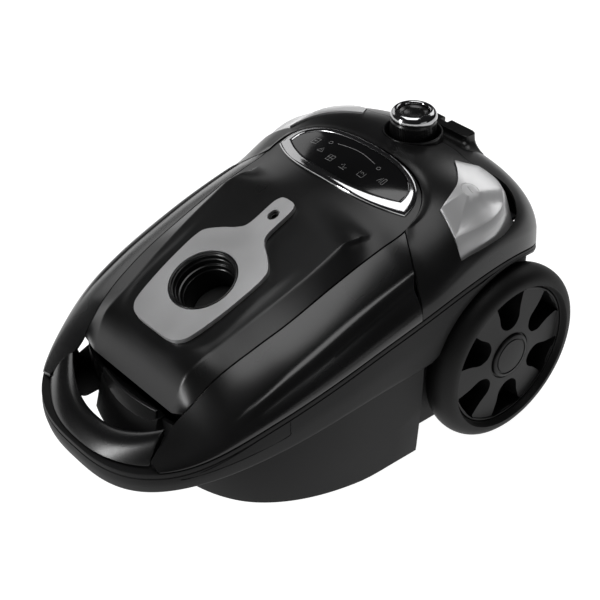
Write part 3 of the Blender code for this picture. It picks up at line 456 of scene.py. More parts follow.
# ---- the body's form -----------------------------------------------------
def blend(points, at):
    """A smooth curve through (place, value) points, with level ends between equal neighbours."""
    if at <= points[0][0]:
        return points[0][1]
    for i, (start, end) in enumerate(zip(points, points[1:])):
        if at <= end[0]:
            break
    else:
        return points[-1][1]
    before = points[max(i - 1, 0)]
    after = points[min(i + 2, len(points) - 1)]
    width = end[0] - start[0]
    slope_in = (end[1] - before[1]) / (end[0] - before[0])
    slope_out = (after[1] - start[1]) / (after[0] - start[0])
    t = (at - start[0]) / width
    return (
        (2 * t**3 - 3 * t**2 + 1) * start[1]
        + (t**3 - 2 * t**2 + t) * width * slope_in
        + (-2 * t**3 + 3 * t**2) * end[1]
        + (t**3 - t**2) * width * slope_out
    )


def smooth_step(t):
    t = min(max(t, 0.0), 1.0)
    return t * t * (3 - 2 * t)


def spread(start, end, count):
    return [start + (end - start) * i / (count - 1) for i in range(count)]


def bulge(share, power):
    """The height of a superellipse of width and height 1 at this share of its width."""
    return (1 - share**power) ** (1 / power)


def half_width(y):
    if y < WIDE_Y:
        return HALF_WIDTH * bulge(min((WIDE_Y - y) / (WIDE_Y - FRONT_Y), 1.0), FRONT_POWER)
    return HALF_WIDTH * bulge(min((y - WIDE_Y) / (REAR_Y - WIDE_Y), 1.0), REAR_POWER)


def belt_top(y):
    return blend(BELT_TOP, y)


def belt_low(y):
    """The belt's lower edge, which runs over the wheel as an arch."""
    low = blend(BELT_LOW, y)
    reach = ARCH_RADIUS**2 - (y - WHEEL_Y) ** 2
    arch = WHEEL_RADIUS + sqrt(reach) if reach > 0 else 0.0
    return max(min(low, 0.103), arch)


def upper_point(y, v, drop=0.0):
    """A point of the upper casings: v runs from the right edge, 1, over the top, 0, to the left edge, -1."""
    width = half_width(y)
    low = belt_top(y) + 0.0012
    rise = max(blend(CROWN, y) - low, 0.001)
    angle = abs(v) * pi / 2
    bend = 2 / blend(SECTION_POWER, y)
    x = width * sin(angle) ** bend
    z = low + rise * max(cos(angle), 0.0) ** bend
    return Vector(((x - drop * sin(angle)) * (1 if v >= 0 else -1), y, z - drop * cos(angle)))


def v_of(x, y):
    """The v at which the upper casings reach this x."""
    share = min(abs(x) / max(half_width(y), 1e-6), 1.0)
    return asin(share ** (blend(SECTION_POWER, y) / 2)) / (pi / 2) * (1 if x >= 0 else -1)


def crown_height(x, y):
    return upper_point(y, v_of(x, y)).z


def seam_half(y):
    return blend(SEAM_HALF, y)


def lid_form(x, y):
    """The lid's surface: a flat panel, then a sloping border from the inner crease to the seam."""
    crown = blend(CROWN, y)
    inner = blend(PANEL_HALF, y)
    seam = seam_half(y)
    share = smooth_step((-0.096 - y) / 0.035)

    def top(at):
        section = crown_height(at, y)
        return section + (crown + blend(PANEL, y) - section) * share

    reach = abs(x)
    if reach <= inner:
        return top(reach)
    start = top(inner)
    end = crown_height(seam, y)
    t = min((reach - inner) / (seam - inner), 1.0)
    straight = start + (end - start) * t
    return crown_height(reach, y) + (straight - crown_height(reach, y)) * share


def plateau(x, y):
    """How far the hose plate's table stands above the lid, with a crisp edge and a hollow foot."""
    wide = 0.0490 + max(y + 0.190, 0.0) * 0.10
    low = max(-0.212 - y, 0.0) / 0.0450
    reach = ((abs(x) / wide) ** 2.7 + low**2.7) ** (1 / 2.7)
    away = max(reach - 1.0, 0.0) * 0.047
    fade = smooth_step((-0.150 - y) / 0.040)
    return PLATEAU_HEIGHT * fade * 2.718 ** (-away / 0.0042)


def lid_height(x, y):
    return lid_form(x, y) + plateau(x, y)


def arc_y(x):
    """The lid's rear edge, an arc behind the display."""
    share = min(abs(x) / LID_REAR_HALF, 1.0)
    return LID_CORNER_Y + (LID_ARC_Y - LID_CORNER_Y) * bulge(share, LID_ARC_POWER)


def plan_loop(front_y, rear_y, half, front_power, rear_power, steps=44):
    """A closed outline in plan: the front centre, the right side, the rear centre and the left side."""
    right = []
    for i in range(1, steps):
        angle = pi / 2 * i / steps
        right.append((half * sin(angle) ** (2 / front_power),
                      WIDE_Y - (WIDE_Y - front_y) * cos(angle) ** (2 / front_power)))
    reach = rear_y - WIDE_Y
    for i in range(46):
        share = 1 - (1 - i / 46) ** 1.9
        right.append((half * bulge(share, rear_power), WIDE_Y + reach * share))
    left = [(-x, y) for x, y in reversed(right)]
    return [(0.0, front_y)] + right + [(0.0, rear_y)] + left


# ---- tub, belt and handle --------------------------------------------------
def tub_loop(inset, level):
    tuck = 0.0035 * (1 - level) ** 2
    loop = []
    outline = plan_loop(TUB_FRONT_Y + inset + tuck * 1.6, REAR_Y - 0.0055 - inset - tuck,
                        HALF_WIDTH - 0.004 - inset - tuck, TUB_POWER, REAR_POWER)
    for x, y in outline:
        squeeze = smooth_step((y - (WIDE_Y + 0.0010)) / 0.0110)
        limit = HALF_WIDTH + (TUB_REAR_HALF - inset - tuck - HALF_WIDTH) * squeeze
        x = max(-limit, min(limit, x))
        low = blend(TUB_FLOOR, y) + inset
        rise = smooth_step((-0.243 - y) / 0.022) * 0.020
        high = min(belt_low(y), 0.150) - 0.0010 + rise
        loop.append(Vector((x, y, low + (high - low) * level)))
    return loop


def make_tub():
    levels = (0.0, 0.02, 0.06, 0.12, 0.2, 0.3, 0.42, 0.56, 0.7, 0.85, 1.0)
    outer = [tub_loop(0.0, level) for level in levels]
    inner = [tub_loop(WALL, level) for level in reversed(levels)]
    for point, rim in zip(inner[0], outer[-1]):
        point.z = rim.z
    tub = loft("tub_moulding", outer + inner, strips=True)
    carve(tub, block("grille_hole", (0.104, 0.030, 0.050), (0, REAR_Y - 0.006, 0.085)),
          rod("outlet_hole", 0.0085, 0.030, (0.070, REAR_Y - 0.006, 0.075), (0, 1, 0)),
          rod("stem_hole", 0.0055, 0.030, (0, -0.228, 0.036), (0, 0, 1)))
    dress(tub, "matte_black", "chassis", ["lower_tub"], bevel=0.0008, angle=50.0)
    make_front_fill()


def make_front_fill():
    """What shows inside the front handle: a sloping apron in the middle and a web at each side of it."""
    loops = []
    for i in range(13):
        x = -0.036 + 0.072 * i / 12
        front = -0.2800 - 0.0110 * cos(pi * x / 0.088)
        loops.append([Vector((x, y, z)) for y, z in ((-0.2680, 0.0660), (-0.2680, 0.0975),
                (-0.2755, 0.0975), (front, 0.0700), (front + 0.0020, 0.0660))])
    dress(loft("front_apron", loops), "matte_black", "chassis", bevel=0.0006)
    outline = ((0.046, -0.268), (0.045, -0.286), (0.054, -0.2915), (0.072, -0.290), (0.088, -0.272),
               (0.096, -0.250), (0.099, -0.232), (0.092, -0.232), (0.080, -0.250), (0.062, -0.264))
    for word, side in (("left", -1), ("right", 1)):
        corners = rounded([(x * side, y) for x, y in outline], 0.0030, 4)
        web = loft("side_web_" + word, [[Vector((x, y, z)) for x, y in corners] for z in (0.0745, 0.0775)])
        dress(web, "matte_black", "chassis", bevel=0.0004)


def belt_inner(x, y):
    if y > WIDE_Y and abs(x) > GUARD_HALF:
        guard = smooth_step((y - WIDE_Y) / 0.009)
        inner_x = abs(x) - 0.005
        return (inner_x + (GUARD_HALF - inner_x) * guard) * (1 if x > 0 else -1), y
    bar = 0.019 * smooth_step((-0.272 - y) / 0.02)
    inward = Vector((-x, (WIDE_Y - y) * 0.62)).normalized()
    inner = Vector((x, y)) + inward * (0.005 + bar)
    return inner.x, inner.y


def belt_face(x, y, level):
    """A point of the belt's outer face, from its lower edge, 0, to its upper edge, 1."""
    top = belt_top(y)
    low = belt_low(y)
    tuck = (1 - min(level / 0.5, 1.0)) ** 2
    return Vector((x * (1 - 0.010 * tuck), y * (1 - 0.005 * tuck), low + (top - low) * level))


def make_belt():
    loops = []
    outline = plan_loop(FRONT_Y, REAR_Y, HALF_WIDTH, FRONT_POWER, REAR_POWER, 60)
    for x, y in outline:
        top = belt_top(y)
        low = belt_low(y)
        inner_x, inner_y = belt_inner(x, y)
        out = Vector((x, (y - WIDE_Y) * 0.8, 0)).normalized()
        loop = []
        height = top - low
        for level, out_by in ((1.0, -0.0012), (1 - 0.0005 / height, -0.0003), (1 - 0.0014 / height, 0.0),
                              (1 - 0.0034 / height, 0.0), (1 - 0.0038 / height, -0.0007),
                              (1 - 0.0046 / height, -0.0007), (1 - 0.0052 / height, 0.0), (0.6, 0.0003),
                              (0.5, 0.0003), (0.4, 0.0002), (0.3, 0.0), (0.2, -0.0001), (0.1, -0.0001),
                              (0.04, -0.0002), (0.0, -0.0010)):
            loop.append(belt_face(x, y, level) + out * out_by)
        loop.append(Vector((inner_x, inner_y, low)))
        loop.append(Vector((inner_x, inner_y, top)))
        loops.append(loop)
    belt = loft("belt_moulding", loops, joined=True)
    cutters = []
    for side in (-1, 1):
        spots = []
        for share, level in ((0.0, 0.60), (0.25, 0.70), (0.5, 0.78), (0.8, 0.86), (0.98, 0.88), (1.0, 0.82),
                             (1.0, 0.55), (0.97, 0.44), (0.6, 0.47), (0.3, 0.53), (0.08, 0.57)):
            y = -0.292 + 0.074 * share
            spots.append(belt_face(half_width(y) * side, y, level))
        path = flowing(spots, 6)
        cutters.append(tube("inset_line", path, 0.00045, 6, closed=True))
    carve(belt, *cutters)
    dress(belt, "matte_black", "chassis", ["bumper_belt"], angle=32.0)


def handle_point(share, across, lift=0.0):
    """A point of the handle's cover: share runs along the bar, -1 to 1, and across from its outer edge, 0,
    to its inner edge, 1."""
    outer_y = HANDLE_SEAM_Y + (FRONT_Y + 0.003 - HANDLE_SEAM_Y) * (1 - abs(share) ** 2.4)
    inner_y = -0.2845 + (-0.3035 + 0.2845) * (1 - abs(share) ** 2.2)
    outer = Vector((share * HANDLE_HALF, outer_y, belt_top(outer_y) + GAP))
    inner = Vector((share * 0.0585, inner_y, 0.0935 + 0.0150 * abs(share) ** 2.2))
    point = outer.lerp(inner, across)
    point.z += lift * sin(pi * across) ** 0.8
    return point


def make_handle_cover():
    outer = []
    inner = []
    for share in spread(-1.0, 1.0, 81):
        row = [handle_point(share, a, 0.0055) for a in spread(0.0, 1.0, 17)]
        under = [handle_point(share, a) for a in spread(0.12, 0.90, 17)]
        for point in under:
            point.z = max(point.z - 0.004, belt_top(point.y) + GAP)
        under[0].z = belt_top(under[0].y) + GAP
        outer.append(row)
        inner.append(under)
    cover = shell("handle_cover", outer, inner)
    dress(cover, "gloss_black", "chassis", ["front_handle_cover"], bevel=0.0005, angle=55.0, segments=3)


# ---- wings -------------------------------------------------------------------
def wing_inner_x(y):
    if y < LID_FRONT_Y:
        return blend(WING_EDGE, y)
    return seam_half(y) + 0.0012


def seam_y(x):
    """The slanted seam between a wing and the rear casing."""
    return SEAM_Y + SEAM_SLOPE * (abs(x) - SEAM_X)


def terrace(y, v):
    """How far the wing's surface stands off the plain form, square to it: two ledges along the side."""
    first = blend(UPPER_CREASE, y)
    second = blend(LOWER_CREASE, y)
    fade = smooth_step((y + 0.262) / 0.040)
    if v < first:
        t = max((v - (first - 0.17)) / 0.17, 0.0)
        return -0.0011 * fade * t * t
    if v < second:
        t = (v - first) / (second - first)
        rise = min(t / 0.30, 1.0)
        fall = max((t - 0.30) / 0.70, 0.0)
        return fade * (-0.0011 + 0.0016 * (1 - (1 - rise) ** 2) - 0.0015 * fall**1.7)
    t = min((v - second) / (1.0 - second), 1.0)
    rise = min(t / 0.62, 1.0)
    fall = max((t - 0.62) / 0.38, 0.0)
    return fade * (-0.0010 + 0.0015 * (1 - (1 - rise) ** 1.7) - 0.0005 * fall**2)


def wing_point(y, v, side, drop=0.0):
    point = upper_point(y, v)
    ahead = upper_point(y, min(v + 0.01, 1.0))
    behind = upper_point(y, max(v - 0.01, 0.0))
    along = (ahead - behind).normalized()
    out = Vector((-along.z, 0, along.x))
    point += out * (terrace(y, v) - drop)
    point.x *= side
    return point


def wing_rear_y(share):
    """Where a lengthwise line of the wing ends at the slanted seam, by its share of the way inwards."""
    y = SEAM_Y
    for _ in range(6):
        edge = v_of(wing_inner_x(y), y)
        y = seam_y(upper_point(y, 1.0 + (edge - 1.0) * share).x) - GAP
    return y


def wing_v(y, share):
    """The v of a lengthwise line: the lines gather on the two creases so that these stay sharp."""
    inner = v_of(wing_inner_x(y), y)
    first = max(blend(UPPER_CREASE, y), inner + 0.02)
    second = max(blend(LOWER_CREASE, y), first + 0.02)
    if share <= 1 / 3:
        return 1.0 + (second - 1.0) * share * 3
    if share <= 2 / 3:
        return second + (first - second) * (share * 3 - 1)
    return first + (inner - first) * (share * 3 - 2)


def make_wing(name, side, node):
    outer = []
    inner = []
    front = HANDLE_SEAM_Y + 0.001
    lines = [(third + step / 14) / 3 for third in range(3) for step in range(14)] + [1.0]
    for along in spread(0.0, 1.0, 110):
        row = []
        under = []
        for share in lines:
            y = front + (wing_rear_y(share) - front) * along
            v = wing_v(y, share)
            row.append(wing_point(y, v, side))
            under.append(wing_point(y, v, side, 0.0026))
        under[0].z = row[0].z
        under[-1].x = row[-1].x
        outer.append(row)
        inner.append(under)
    dress(shell(name, outer, inner), "gloss_black", "chassis", [node], angle=24.0)


# ---- rear casing ---------------------------------------------------------
def casing_columns():
    """The casing's lengthwise lines, from left to right, each as its v and the y at which it starts."""
    columns = []
    for share in [sin(pi / 2 * i / 36) for i in range(37)]:
        x = LID_REAR_HALF * share
        columns.append((v_of(x, arc_y(x)), arc_y(x) + 0.0010, 1.0))
    for i in range(26):
        x = 0.0803 + (0.1222 - 0.0803) * (i / 25) ** 0.85
        y = seam_y(x) + GAP
        columns.append((v_of(x, y), y, smooth_step((0.088 - x) / 0.008)))
    columns.append((1.0, seam_y(HALF_WIDTH) + GAP, 0.0))
    left = [(-v, y, rim) for v, y, rim in reversed(columns[1:])]
    return left + columns


def casing_under(y, v):
    top = upper_point(y, v)
    straight = top - Vector((0, 0, 0.0028))
    square = upper_point(y, v, 0.0028)
    point = straight.lerp(square, smooth_step((abs(top.x) - 0.082) / 0.020))
    point.z = max(point.z, belt_top(y) + 0.0008)
    return point


def surface_path(points, lift=0.0):
    return [Vector((x, y, crown_height(x, y) + lift)) for x, y in points]


def make_rear_casing():
    outer = []
    inner = []
    shares = [0.0, 0.006, 0.015, 0.03, 0.045, 0.06, 0.08] + spread(0.10, 0.84, 26) + spread(0.85, 1.0, 22)
    for share in shares:
        row = []
        under = []
        for v, start, rim in casing_columns():
            y = start + (REAR_Y - 0.0015 - start) * share
            point = upper_point(y, v)
            point.z += 0.0011 * rim * smooth_step(1 - (y - start) / 0.0085)
            row.append(point)
            under.append(casing_under(start + (REAR_Y - 0.0045 - start) * share + 0.0001, v))
        under[0].z = row[0].z
        under[-1].z = row[-1].z
        outer.append(row)
        inner.append(under)
    casing = shell("casing_moulding", outer, inner)
    cutters = [pedal_gap("right_gap", 1), pedal_gap("left_gap", -1),
               rod("well", COLLAR_RADIUS + 0.0005, 0.060, (0, KNOB_Y, 0.205), (0, 0, 1), 96)]
    for side in (-1, 1):
        line = flowing([(side * 0.0200, 0.0200), (side * 0.036, 0.0195), (side * 0.052, 0.0155),
                        (side * 0.066, 0.0165)], 8, closed=False)
        cutters.append(tube("seam_line", surface_path([(p.x, p.y) for p in line], 0.0002), 0.00055, 6))
    carve(casing, *cutters)
    dress(casing, "satin_black", "chassis", ["rear_casing"], bevel=0.0005, angle=50.0, segments=2)


# ---- pedals ----------------------------------------------------------------
def pedal_outline(grow, flare=0.0):
    """The right pedal's outline in plan: a curved strip whose outer edge leans out by the flare."""
    inner = [(0.052, 0.002), (0.066, -0.009), (0.077, -0.022), (0.086, -0.047)]
    outer = [(0.106, -0.051), (0.1100, -0.030), (0.1080, -0.010), (0.099, 0.008), (0.083, 0.019),
             (0.064, 0.017)]
    leans = [(0.0110, -0.0030), (0.0085, 0.0), (0.0085, 0.0030), (0.0080, 0.0060), (0.0030, 0.0060),
             (0.0, 0.0)]
    centre = Vector((0.086, -0.018))
    points = []
    for corner, lean in zip(inner + outer, [(0.0, 0.0)] * 4 + leans):
        spot = Vector(corner)
        points.append(spot + (spot - centre).normalized() * grow + Vector(lean) * flare)
    return flowing(points[:4], 6, closed=False) + flowing(points[4:], 6, closed=False)


def pedal_top(x, y):
    return crown_height(min(x, 0.098), y) + 0.0012 - max(x - 0.090, 0.0) * 0.45


def pedal_gap(name, side):
    loops = []
    for z in (0.1680, 0.2600):
        loops.append([Vector((spot.x * side, spot.y, z)) for spot in pedal_outline(0.0009, 1.0)])
    return loft(name, loops)


def make_pedal(name, side, body, node):
    loops = []
    for flare, level in ((1.0, None), (0.72, 0.62), (0.36, 0.22), (0.0, 0.0)):
        loop = []
        rims = pedal_outline(0.0, 0.0)
        for spot, rim in zip(pedal_outline(0.0, flare), rims):
            high = pedal_top(rim.x, rim.y)
            low = max(pedal_top(spot.x, spot.y) - 0.018, 0.1745)
            z = low if level is None else high + (low - high) * level
            loop.append(Vector((spot.x * side, spot.y, z)))
        loops.append(loop)
    bm = bmesh.new()
    rows = [[bm.verts.new(point) for point in loop] for loop in loops]
    for first, second in zip(rows, rows[1:]):
        ring_faces(bm, first, second)
    bm.faces.new(rows[0])
    centre = Vector((0.085 * side, -0.016, 0.0))
    ring = rows[-1]
    for scale in (0.985, 0.90, 0.75, 0.55, 0.35, 0.15):
        inner = []
        for vert in rows[-1]:
            spot = centre.lerp(vert.co, scale)
            inner.append(bm.verts.new((spot.x, spot.y, pedal_top(abs(spot.x), spot.y) + 0.0004)))
        ring_faces(bm, ring, inner)
        ring = inner
    bm.faces.new(ring)
    pedal = mesh_object(bm, name)
    middle = Vector((0.0850 * side, -0.0150))
    lines = []
    circle_points = [(middle.x + 0.0070 * cos(2 * pi * i / 48), middle.y + 0.0070 * sin(2 * pi * i / 48))
                     for i in range(48)]
    lines.append(tube("ring_line", [pedal_spot(x, y) for x, y in circle_points], 0.00042, 6, closed=True))
    if side > 0:
        bar = [(middle.x - 0.0032 + 0.0064 * i / 8, middle.y + 0.0006 - 0.0012 * i / 8) for i in range(9)]
        lines.append(tube("bar_line", [pedal_spot(x, y) for x, y in bar], 0.0006, 6))
    else:
        for path in (((-0.0034, 0.0), (-0.0010, 0.0), (-0.0010, 0.0022), (0.0016, 0.0022), (0.0016, -0.0022),
                      (-0.0010, -0.0022), (-0.0010, 0.0)),
                     ((0.0016, 0.0011), (0.0034, 0.0011)), ((0.0016, -0.0011), (0.0034, -0.0011))):
            spots = [pedal_spot(middle.x + dx, middle.y + dy) for dx, dy in path]
            lines.append(tube("plug_line", spots, 0.00032, 6))
    carve(pedal, *lines)
    dress(pedal, "silver_paint", body, [node], bevel=0.0007, angle=38.0, segments=3)


def pedal_spot(x, y):
    return Vector((x, y, pedal_top(abs(x), y) + 0.0006))


# ---- lid -------------------------------------------------------------------
def lid_rows(drop, margin, front, acrosses):
    rows = []
    alongs = [0.0, 0.004, 0.010, 0.018] + spread(0.028, 0.95, 74) + [0.962, 0.974, 0.986, 1.0]
    for share in alongs:
        row = []
        for across in acrosses:
            rear = arc_y(seam_half(front + (LID_CORNER_Y - front) * share) * across)
            y = front + (rear - front) * share
            x = (seam_half(y) - margin) * across
            row.append(Vector((x, y, lid_height(x, y) - drop)))
        rows.append(row)
    return rows


def make_lid():
    halves = spread(0.0, 0.72, 25) + [0.745, 0.765, 0.785, 0.80, 0.812, 0.824, 0.84, 0.86, 0.885, 0.91,
                                      0.94, 0.965, 0.985, 1.0]
    acrosses = [-share for share in reversed(halves[1:])] + halves
    lid = shell("lid_moulding", lid_rows(0.0, 0.0, LID_FRONT_Y, acrosses),
                lid_rows(0.0028, 0.0005, LID_FRONT_Y + 0.002, acrosses))
    carve(lid, rod("inlet_hole", 0.0281, 0.080, Vector((0, INLET_Y, INLET_Z)), INLET_NORMAL, 96))
    dress(lid, "satin_black", "lid", ["lid_shell"], bevel=0.0006, angle=60.0, segments=2)


def plate_outline():
    right = [(0.0, -0.0520), (0.018, -0.0515), (0.0275, -0.0475), (0.0330, -0.0380), (0.0375, -0.012),
             (0.0395, 0.012), (0.0395, 0.026), (0.0370, 0.034), (0.0270, 0.0425), (0.0160, 0.0495),
             (0.0105, 0.0575), (0.0100, 0.0800), (0.0085, 0.0870), (0.0050, 0.0900)]
    left = [(-x, y) for x, y in reversed(right) if x > 0]
    return flowing(right + left, 7)


def rectangle(half, low, high):
    return [(-half, low), (half, low), (half, high), (-half, high)]


def circle(radius, count, centre=(0.0, 0.0), stretch=1.0):
    return [(centre[0] + radius * cos(2 * pi * i / count),
             centre[1] + radius * stretch * sin(2 * pi * i / count)) for i in range(count)]


def make_inlet():
    seat = Matrix.Translation((0, INLET_Y, INLET_Z)) @ Matrix.Rotation(INLET_TILT, 4, "X")
    plate = outline_mesh("hose_plate", [plate_outline(), circle(HOSE_HOLE_RADIUS, 96),
                                        circle(0.0042, 40, (0, 0.0735), 1.25)], 0.0040, seat)
    dress(plate, "silver_metal", "lid", ["inlet_plate"], bevel=0.0013, angle=50.0, segments=3)
    place = Vector((0, INLET_Y, INLET_Z)) + INLET_NORMAL * 0.0016
    collar = [(0.0269, 0.0004), (0.0258, 0.0006), (0.0252, -0.0010), (0.0244, -0.0014), (0.0238, -0.0045),
              (0.0231, -0.0050), (0.0231, -0.0095), (0.0216, -0.0100), (0.0212, -0.0135), (0.0203, -0.0140),
              (0.0203, -0.0360), (0.0230, -0.0360), (0.0230, -0.0265), (0.0269, -0.0255)]
    dress(turned("hose_collar", rounded(collar, 0.0005, 3), place, INLET_NORMAL, 112), "gloss_black", "lid",
          ["inlet_collar"], angle=45.0)
    shutter = turned("bag_flap", [(0.0, -0.0330), (0.0198, -0.0330), (0.0198, -0.0345), (0.0, -0.0345)],
                     place, INLET_NORMAL, 64)
    dress(shutter, "soft_rubber", "lid", angle=40.0)
    seat_ring = outline_mesh("tongue_socket", [circle(0.0040, 40, (0, 0.0735), 1.25),
                                               circle(0.0022, 32, (0, 0.0735))], 0.0010,
                             seat @ Matrix.Translation((0, 0, -0.0010)))
    dress(seat_ring, "gloss_black", "lid", bevel=0.0002)


def display_outline(angle, corner_x, corner_y, rear, front):
    x = corner_x * cos(angle)
    share = abs(x) / corner_x
    if sin(angle) >= 0:
        return x, corner_y + rear * max(1 - share**LID_ARC_POWER, 0.0) ** (1 / LID_ARC_POWER)
    return x, corner_y - front * max(1 - share**2.2, 0.0)


def lens_spot(x, y, lift=0.0):
    return Vector((x, y, lid_height(x, y) + 0.0024 + lift))


def icon(number, strokes):
    """One line icon printed on the lens, with strokes given in a square from -1 to 1."""
    centres = ((-0.0400, -0.0590), (-0.0262, -0.0655), (-0.0112, -0.0695), (0.0052, -0.0705),
               (0.0222, -0.0680), (0.0385, -0.0620))
    cx, cy = centres[number]
    pieces = []
    for stroke in strokes:
        spots = []
        for (ax, ay), (bx, by) in zip(stroke, stroke[1:]):
            for step in range(3):
                t = step / 3
                spots.append((ax + (bx - ax) * t, ay + (by - ay) * t))
        spots.append(stroke[-1])
        pieces.append(tube("icon_line", [lens_spot(cx + u * 0.0030, cy + v * 0.0030, 0.00002) for u,
                                         v in spots], 0.00016, 5))
    bm = bmesh.new()
    for piece in pieces:
        bm.from_mesh(piece.data)
        bpy.data.objects.remove(piece)
    dress(mesh_object(bm, "display_icon_%d" % (number + 1)), "print_grey", "lid", angle=60.0)


def make_display():
    """The crescent display: a chrome bezel, a smoked lens and its faint printed icons."""
    loops = []
    count = 220
    for i in range(count):
        angle = 2 * pi * (i + 0.5) / count
        outer = Vector(display_outline(angle, 0.0720, -0.0700, 0.0345, 0.0190))
        inner = Vector(display_outline(angle, 0.0622, -0.0655, 0.0245, 0.0170))
        base = lid_height(*outer) + GAP + 0.0004
        base_in = lid_height(*inner) + GAP + 0.0004
        loop = [Vector((*outer, base))]
        for share, rise in ((0.0, 0.0010), (0.06, 0.0017), (0.16, 0.0022), (0.35, 0.0027), (0.6, 0.0029),
                            (0.8, 0.0027), (0.93, 0.0024), (1.0, 0.0018)):
            spot = outer.lerp(inner, share)
            loop.append(Vector((*spot, base + (base_in - base) * share + rise)))
        loop.append(Vector((*inner, base_in)))
        loops.append(loop)
    dress(loft("bezel_band", loops, joined=True), "chrome", "lid", ["display_bezel"], angle=50.0)
    top = []
    under = []
    for x in [0.0612 * sin(pi / 2 * i / 30) for i in range(-30, 31)]:
        x = max(min(x, 0.0611), -0.0611)
        angle = acos(x / 0.0620)
        rear = display_outline(angle, 0.0620, -0.0655, 0.0241, 0.0166)[1]
        front = display_outline(-angle, 0.0620, -0.0655, 0.0241, 0.0166)[1]
        row = [lens_spot(x, y) for y in spread(front, rear, 17)]
        top.append(row)
        under.append([point - Vector((0, 0, 0.0010)) for point in row])
    dress(shell("lens_panel", top, under), "smoked_lens", "lid", ["display_lens"], angle=50.0)
    square = ((-1, -1), (1, -1), (1, 1), (-1, 1), (-1, -1))
    icon(0, (square, ((-0.6, 0), (0.6, 0))))
    icon(1, (((-1, -0.7), (0, 0.9), (1, -0.7), (-1, -0.7)), ((0, -0.3), (0, 0.3))))
    icon(2, (square, ((-1, 0), (1, 0)), ((0, -1), (0, 1))))
    icon(3, (((-1, 0), (-0.3, 0.8), (0.3, -0.8), (1, 0)), ((-1, -1), (1, -1))))
    icon(4, (((-0.9, 0.9), (-0.9, -0.9), (0.9, -0.9), (0.9, 0.9)), ((-0.4, 0.2), (0, 0.9), (0.4, 0.2))))
    icon(5, (((-1, -1), (-0.2, 1), (-0.2, -1)), ((0.3, 1), (1, 1), (1, -1), (0.3, -1), (0.3, 1))))
    slider = flowing([(-0.021, -0.0530), (0.0, -0.0500), (0.021, -0.0530)], 8, closed=False)
    dress(tube("slider_line", [lens_spot(p.x, p.y, 0.00002) for p in slider], 0.00018, 5), "print_grey",
          "lid")
    for index, x in enumerate((-0.027, 0.027)):
        spots = [lens_spot(x + 0.0016 * cos(a), -0.0548 + 0.0016 * sin(a), 0.00002)
                 for a in spread(0.0, 2 * pi, 13)[:-1]]
        dress(tube("end_mark_%d" % (index + 1), spots, 0.00016, 5, closed=True), "print_grey", "lid")


def make_latch():
    outer = []
    inner = []
    for x in spread(-0.034, 0.034, 45):
        bow = 0.004 * (x / 0.034) ** 2
        corner = 0.0070 * max(abs(x) / 0.034 - 0.72, 0.0) / 0.28
        low = 0.0892 + corner * max(abs(x) / 0.034 - 0.72, 0.0) / 0.28
        outer.append([Vector((x, -0.2790 - 0.0010 * t + bow, 0.1040 + (low - 0.1040) * t))
                      for t in spread(0.0, 1.0, 9)])
        inner.append([Vector((x, -0.2765 - 0.0010 * t + bow, 0.1040 + (low - 0.1040) * t))
                      for t in spread(0.0, 1.0, 9)])
    dress(shell("latch_flap", outer, inner), "satin_black", "latch", ["lid_latch"], bevel=0.0008, angle=50.0,
          segments=3)


# ---- knob and bracket ------------------------------------------------------
def knurl(step, radius, along):
    """Fine ribs down the knob's side."""
    if radius < 0.0180 or not 0.2090 < along < 0.2278:
        return 0.0
    return 0.00028 if step % 4 < 2 else -0.00028


def make_knob():
    base = Vector((0, KNOB_Y, 0.0))
    up = (0, 0, 1)
    grip = [(0.0030, 0.2060), (0.0172, 0.2060), (0.0183, 0.2070), (0.0183, 0.2085), (0.0183, 0.2092),
            (0.0183, 0.2150), (0.0183, 0.2210), (0.0183, 0.2275), (0.0183, 0.2282), (0.0178, 0.2296),
            (0.0165, 0.2300), (0.0030, 0.2300)]
    dress(turned("knob_grip", grip, base, up, 288, ripple=knurl), "gloss_black", "knob", ["suction_knob"],
          angle=38.0)
    ring = [(0.0170, 0.2301), (0.0186, 0.2302), (0.0188, 0.2318), (0.0184, 0.2340), (0.0173, 0.2360),
            (0.0157, 0.2373), (0.0139, 0.2377), (0.0128, 0.2371), (0.0123, 0.2356), (0.0121, 0.2330),
            (0.0121, 0.2304)]
    dress(turned("knob_crown", flowing_profile(ring), base, up, 128), "chrome", "knob", ["knob_ring"],
          angle=60.0)
    cap = [(0.0, 0.2308), (0.0118, 0.2308), (0.0118, 0.2350), (0.0112, 0.2356), (0.0100, 0.2352),
           (0.0086, 0.2344), (0.0084, 0.2338), (0.0080, 0.2338), (0.0078, 0.2342), (0.0050, 0.2334),
           (0.0, 0.2330)]
    dress(turned("knob_centre", cap, base, up, 96), "gloss_black", "knob", ["knob_cap"], angle=45.0)
    collar = [(0.0200, 0.1980), (0.0240, 0.1980), (0.0240, 0.2176), (0.0240, 0.2186), (0.0236, 0.2194),
              (0.0228, 0.2195), (0.0222, 0.2188), (0.0214, 0.2150), (0.0206, 0.2070), (0.0200, 0.2050)]
    dress(turned("knob_well", collar, base, up, 96), "satin_black", "chassis", ["knob_collar"], angle=50.0)


def flowing_profile(points):
    return [tuple(point) for point in flowing(points, 3)]


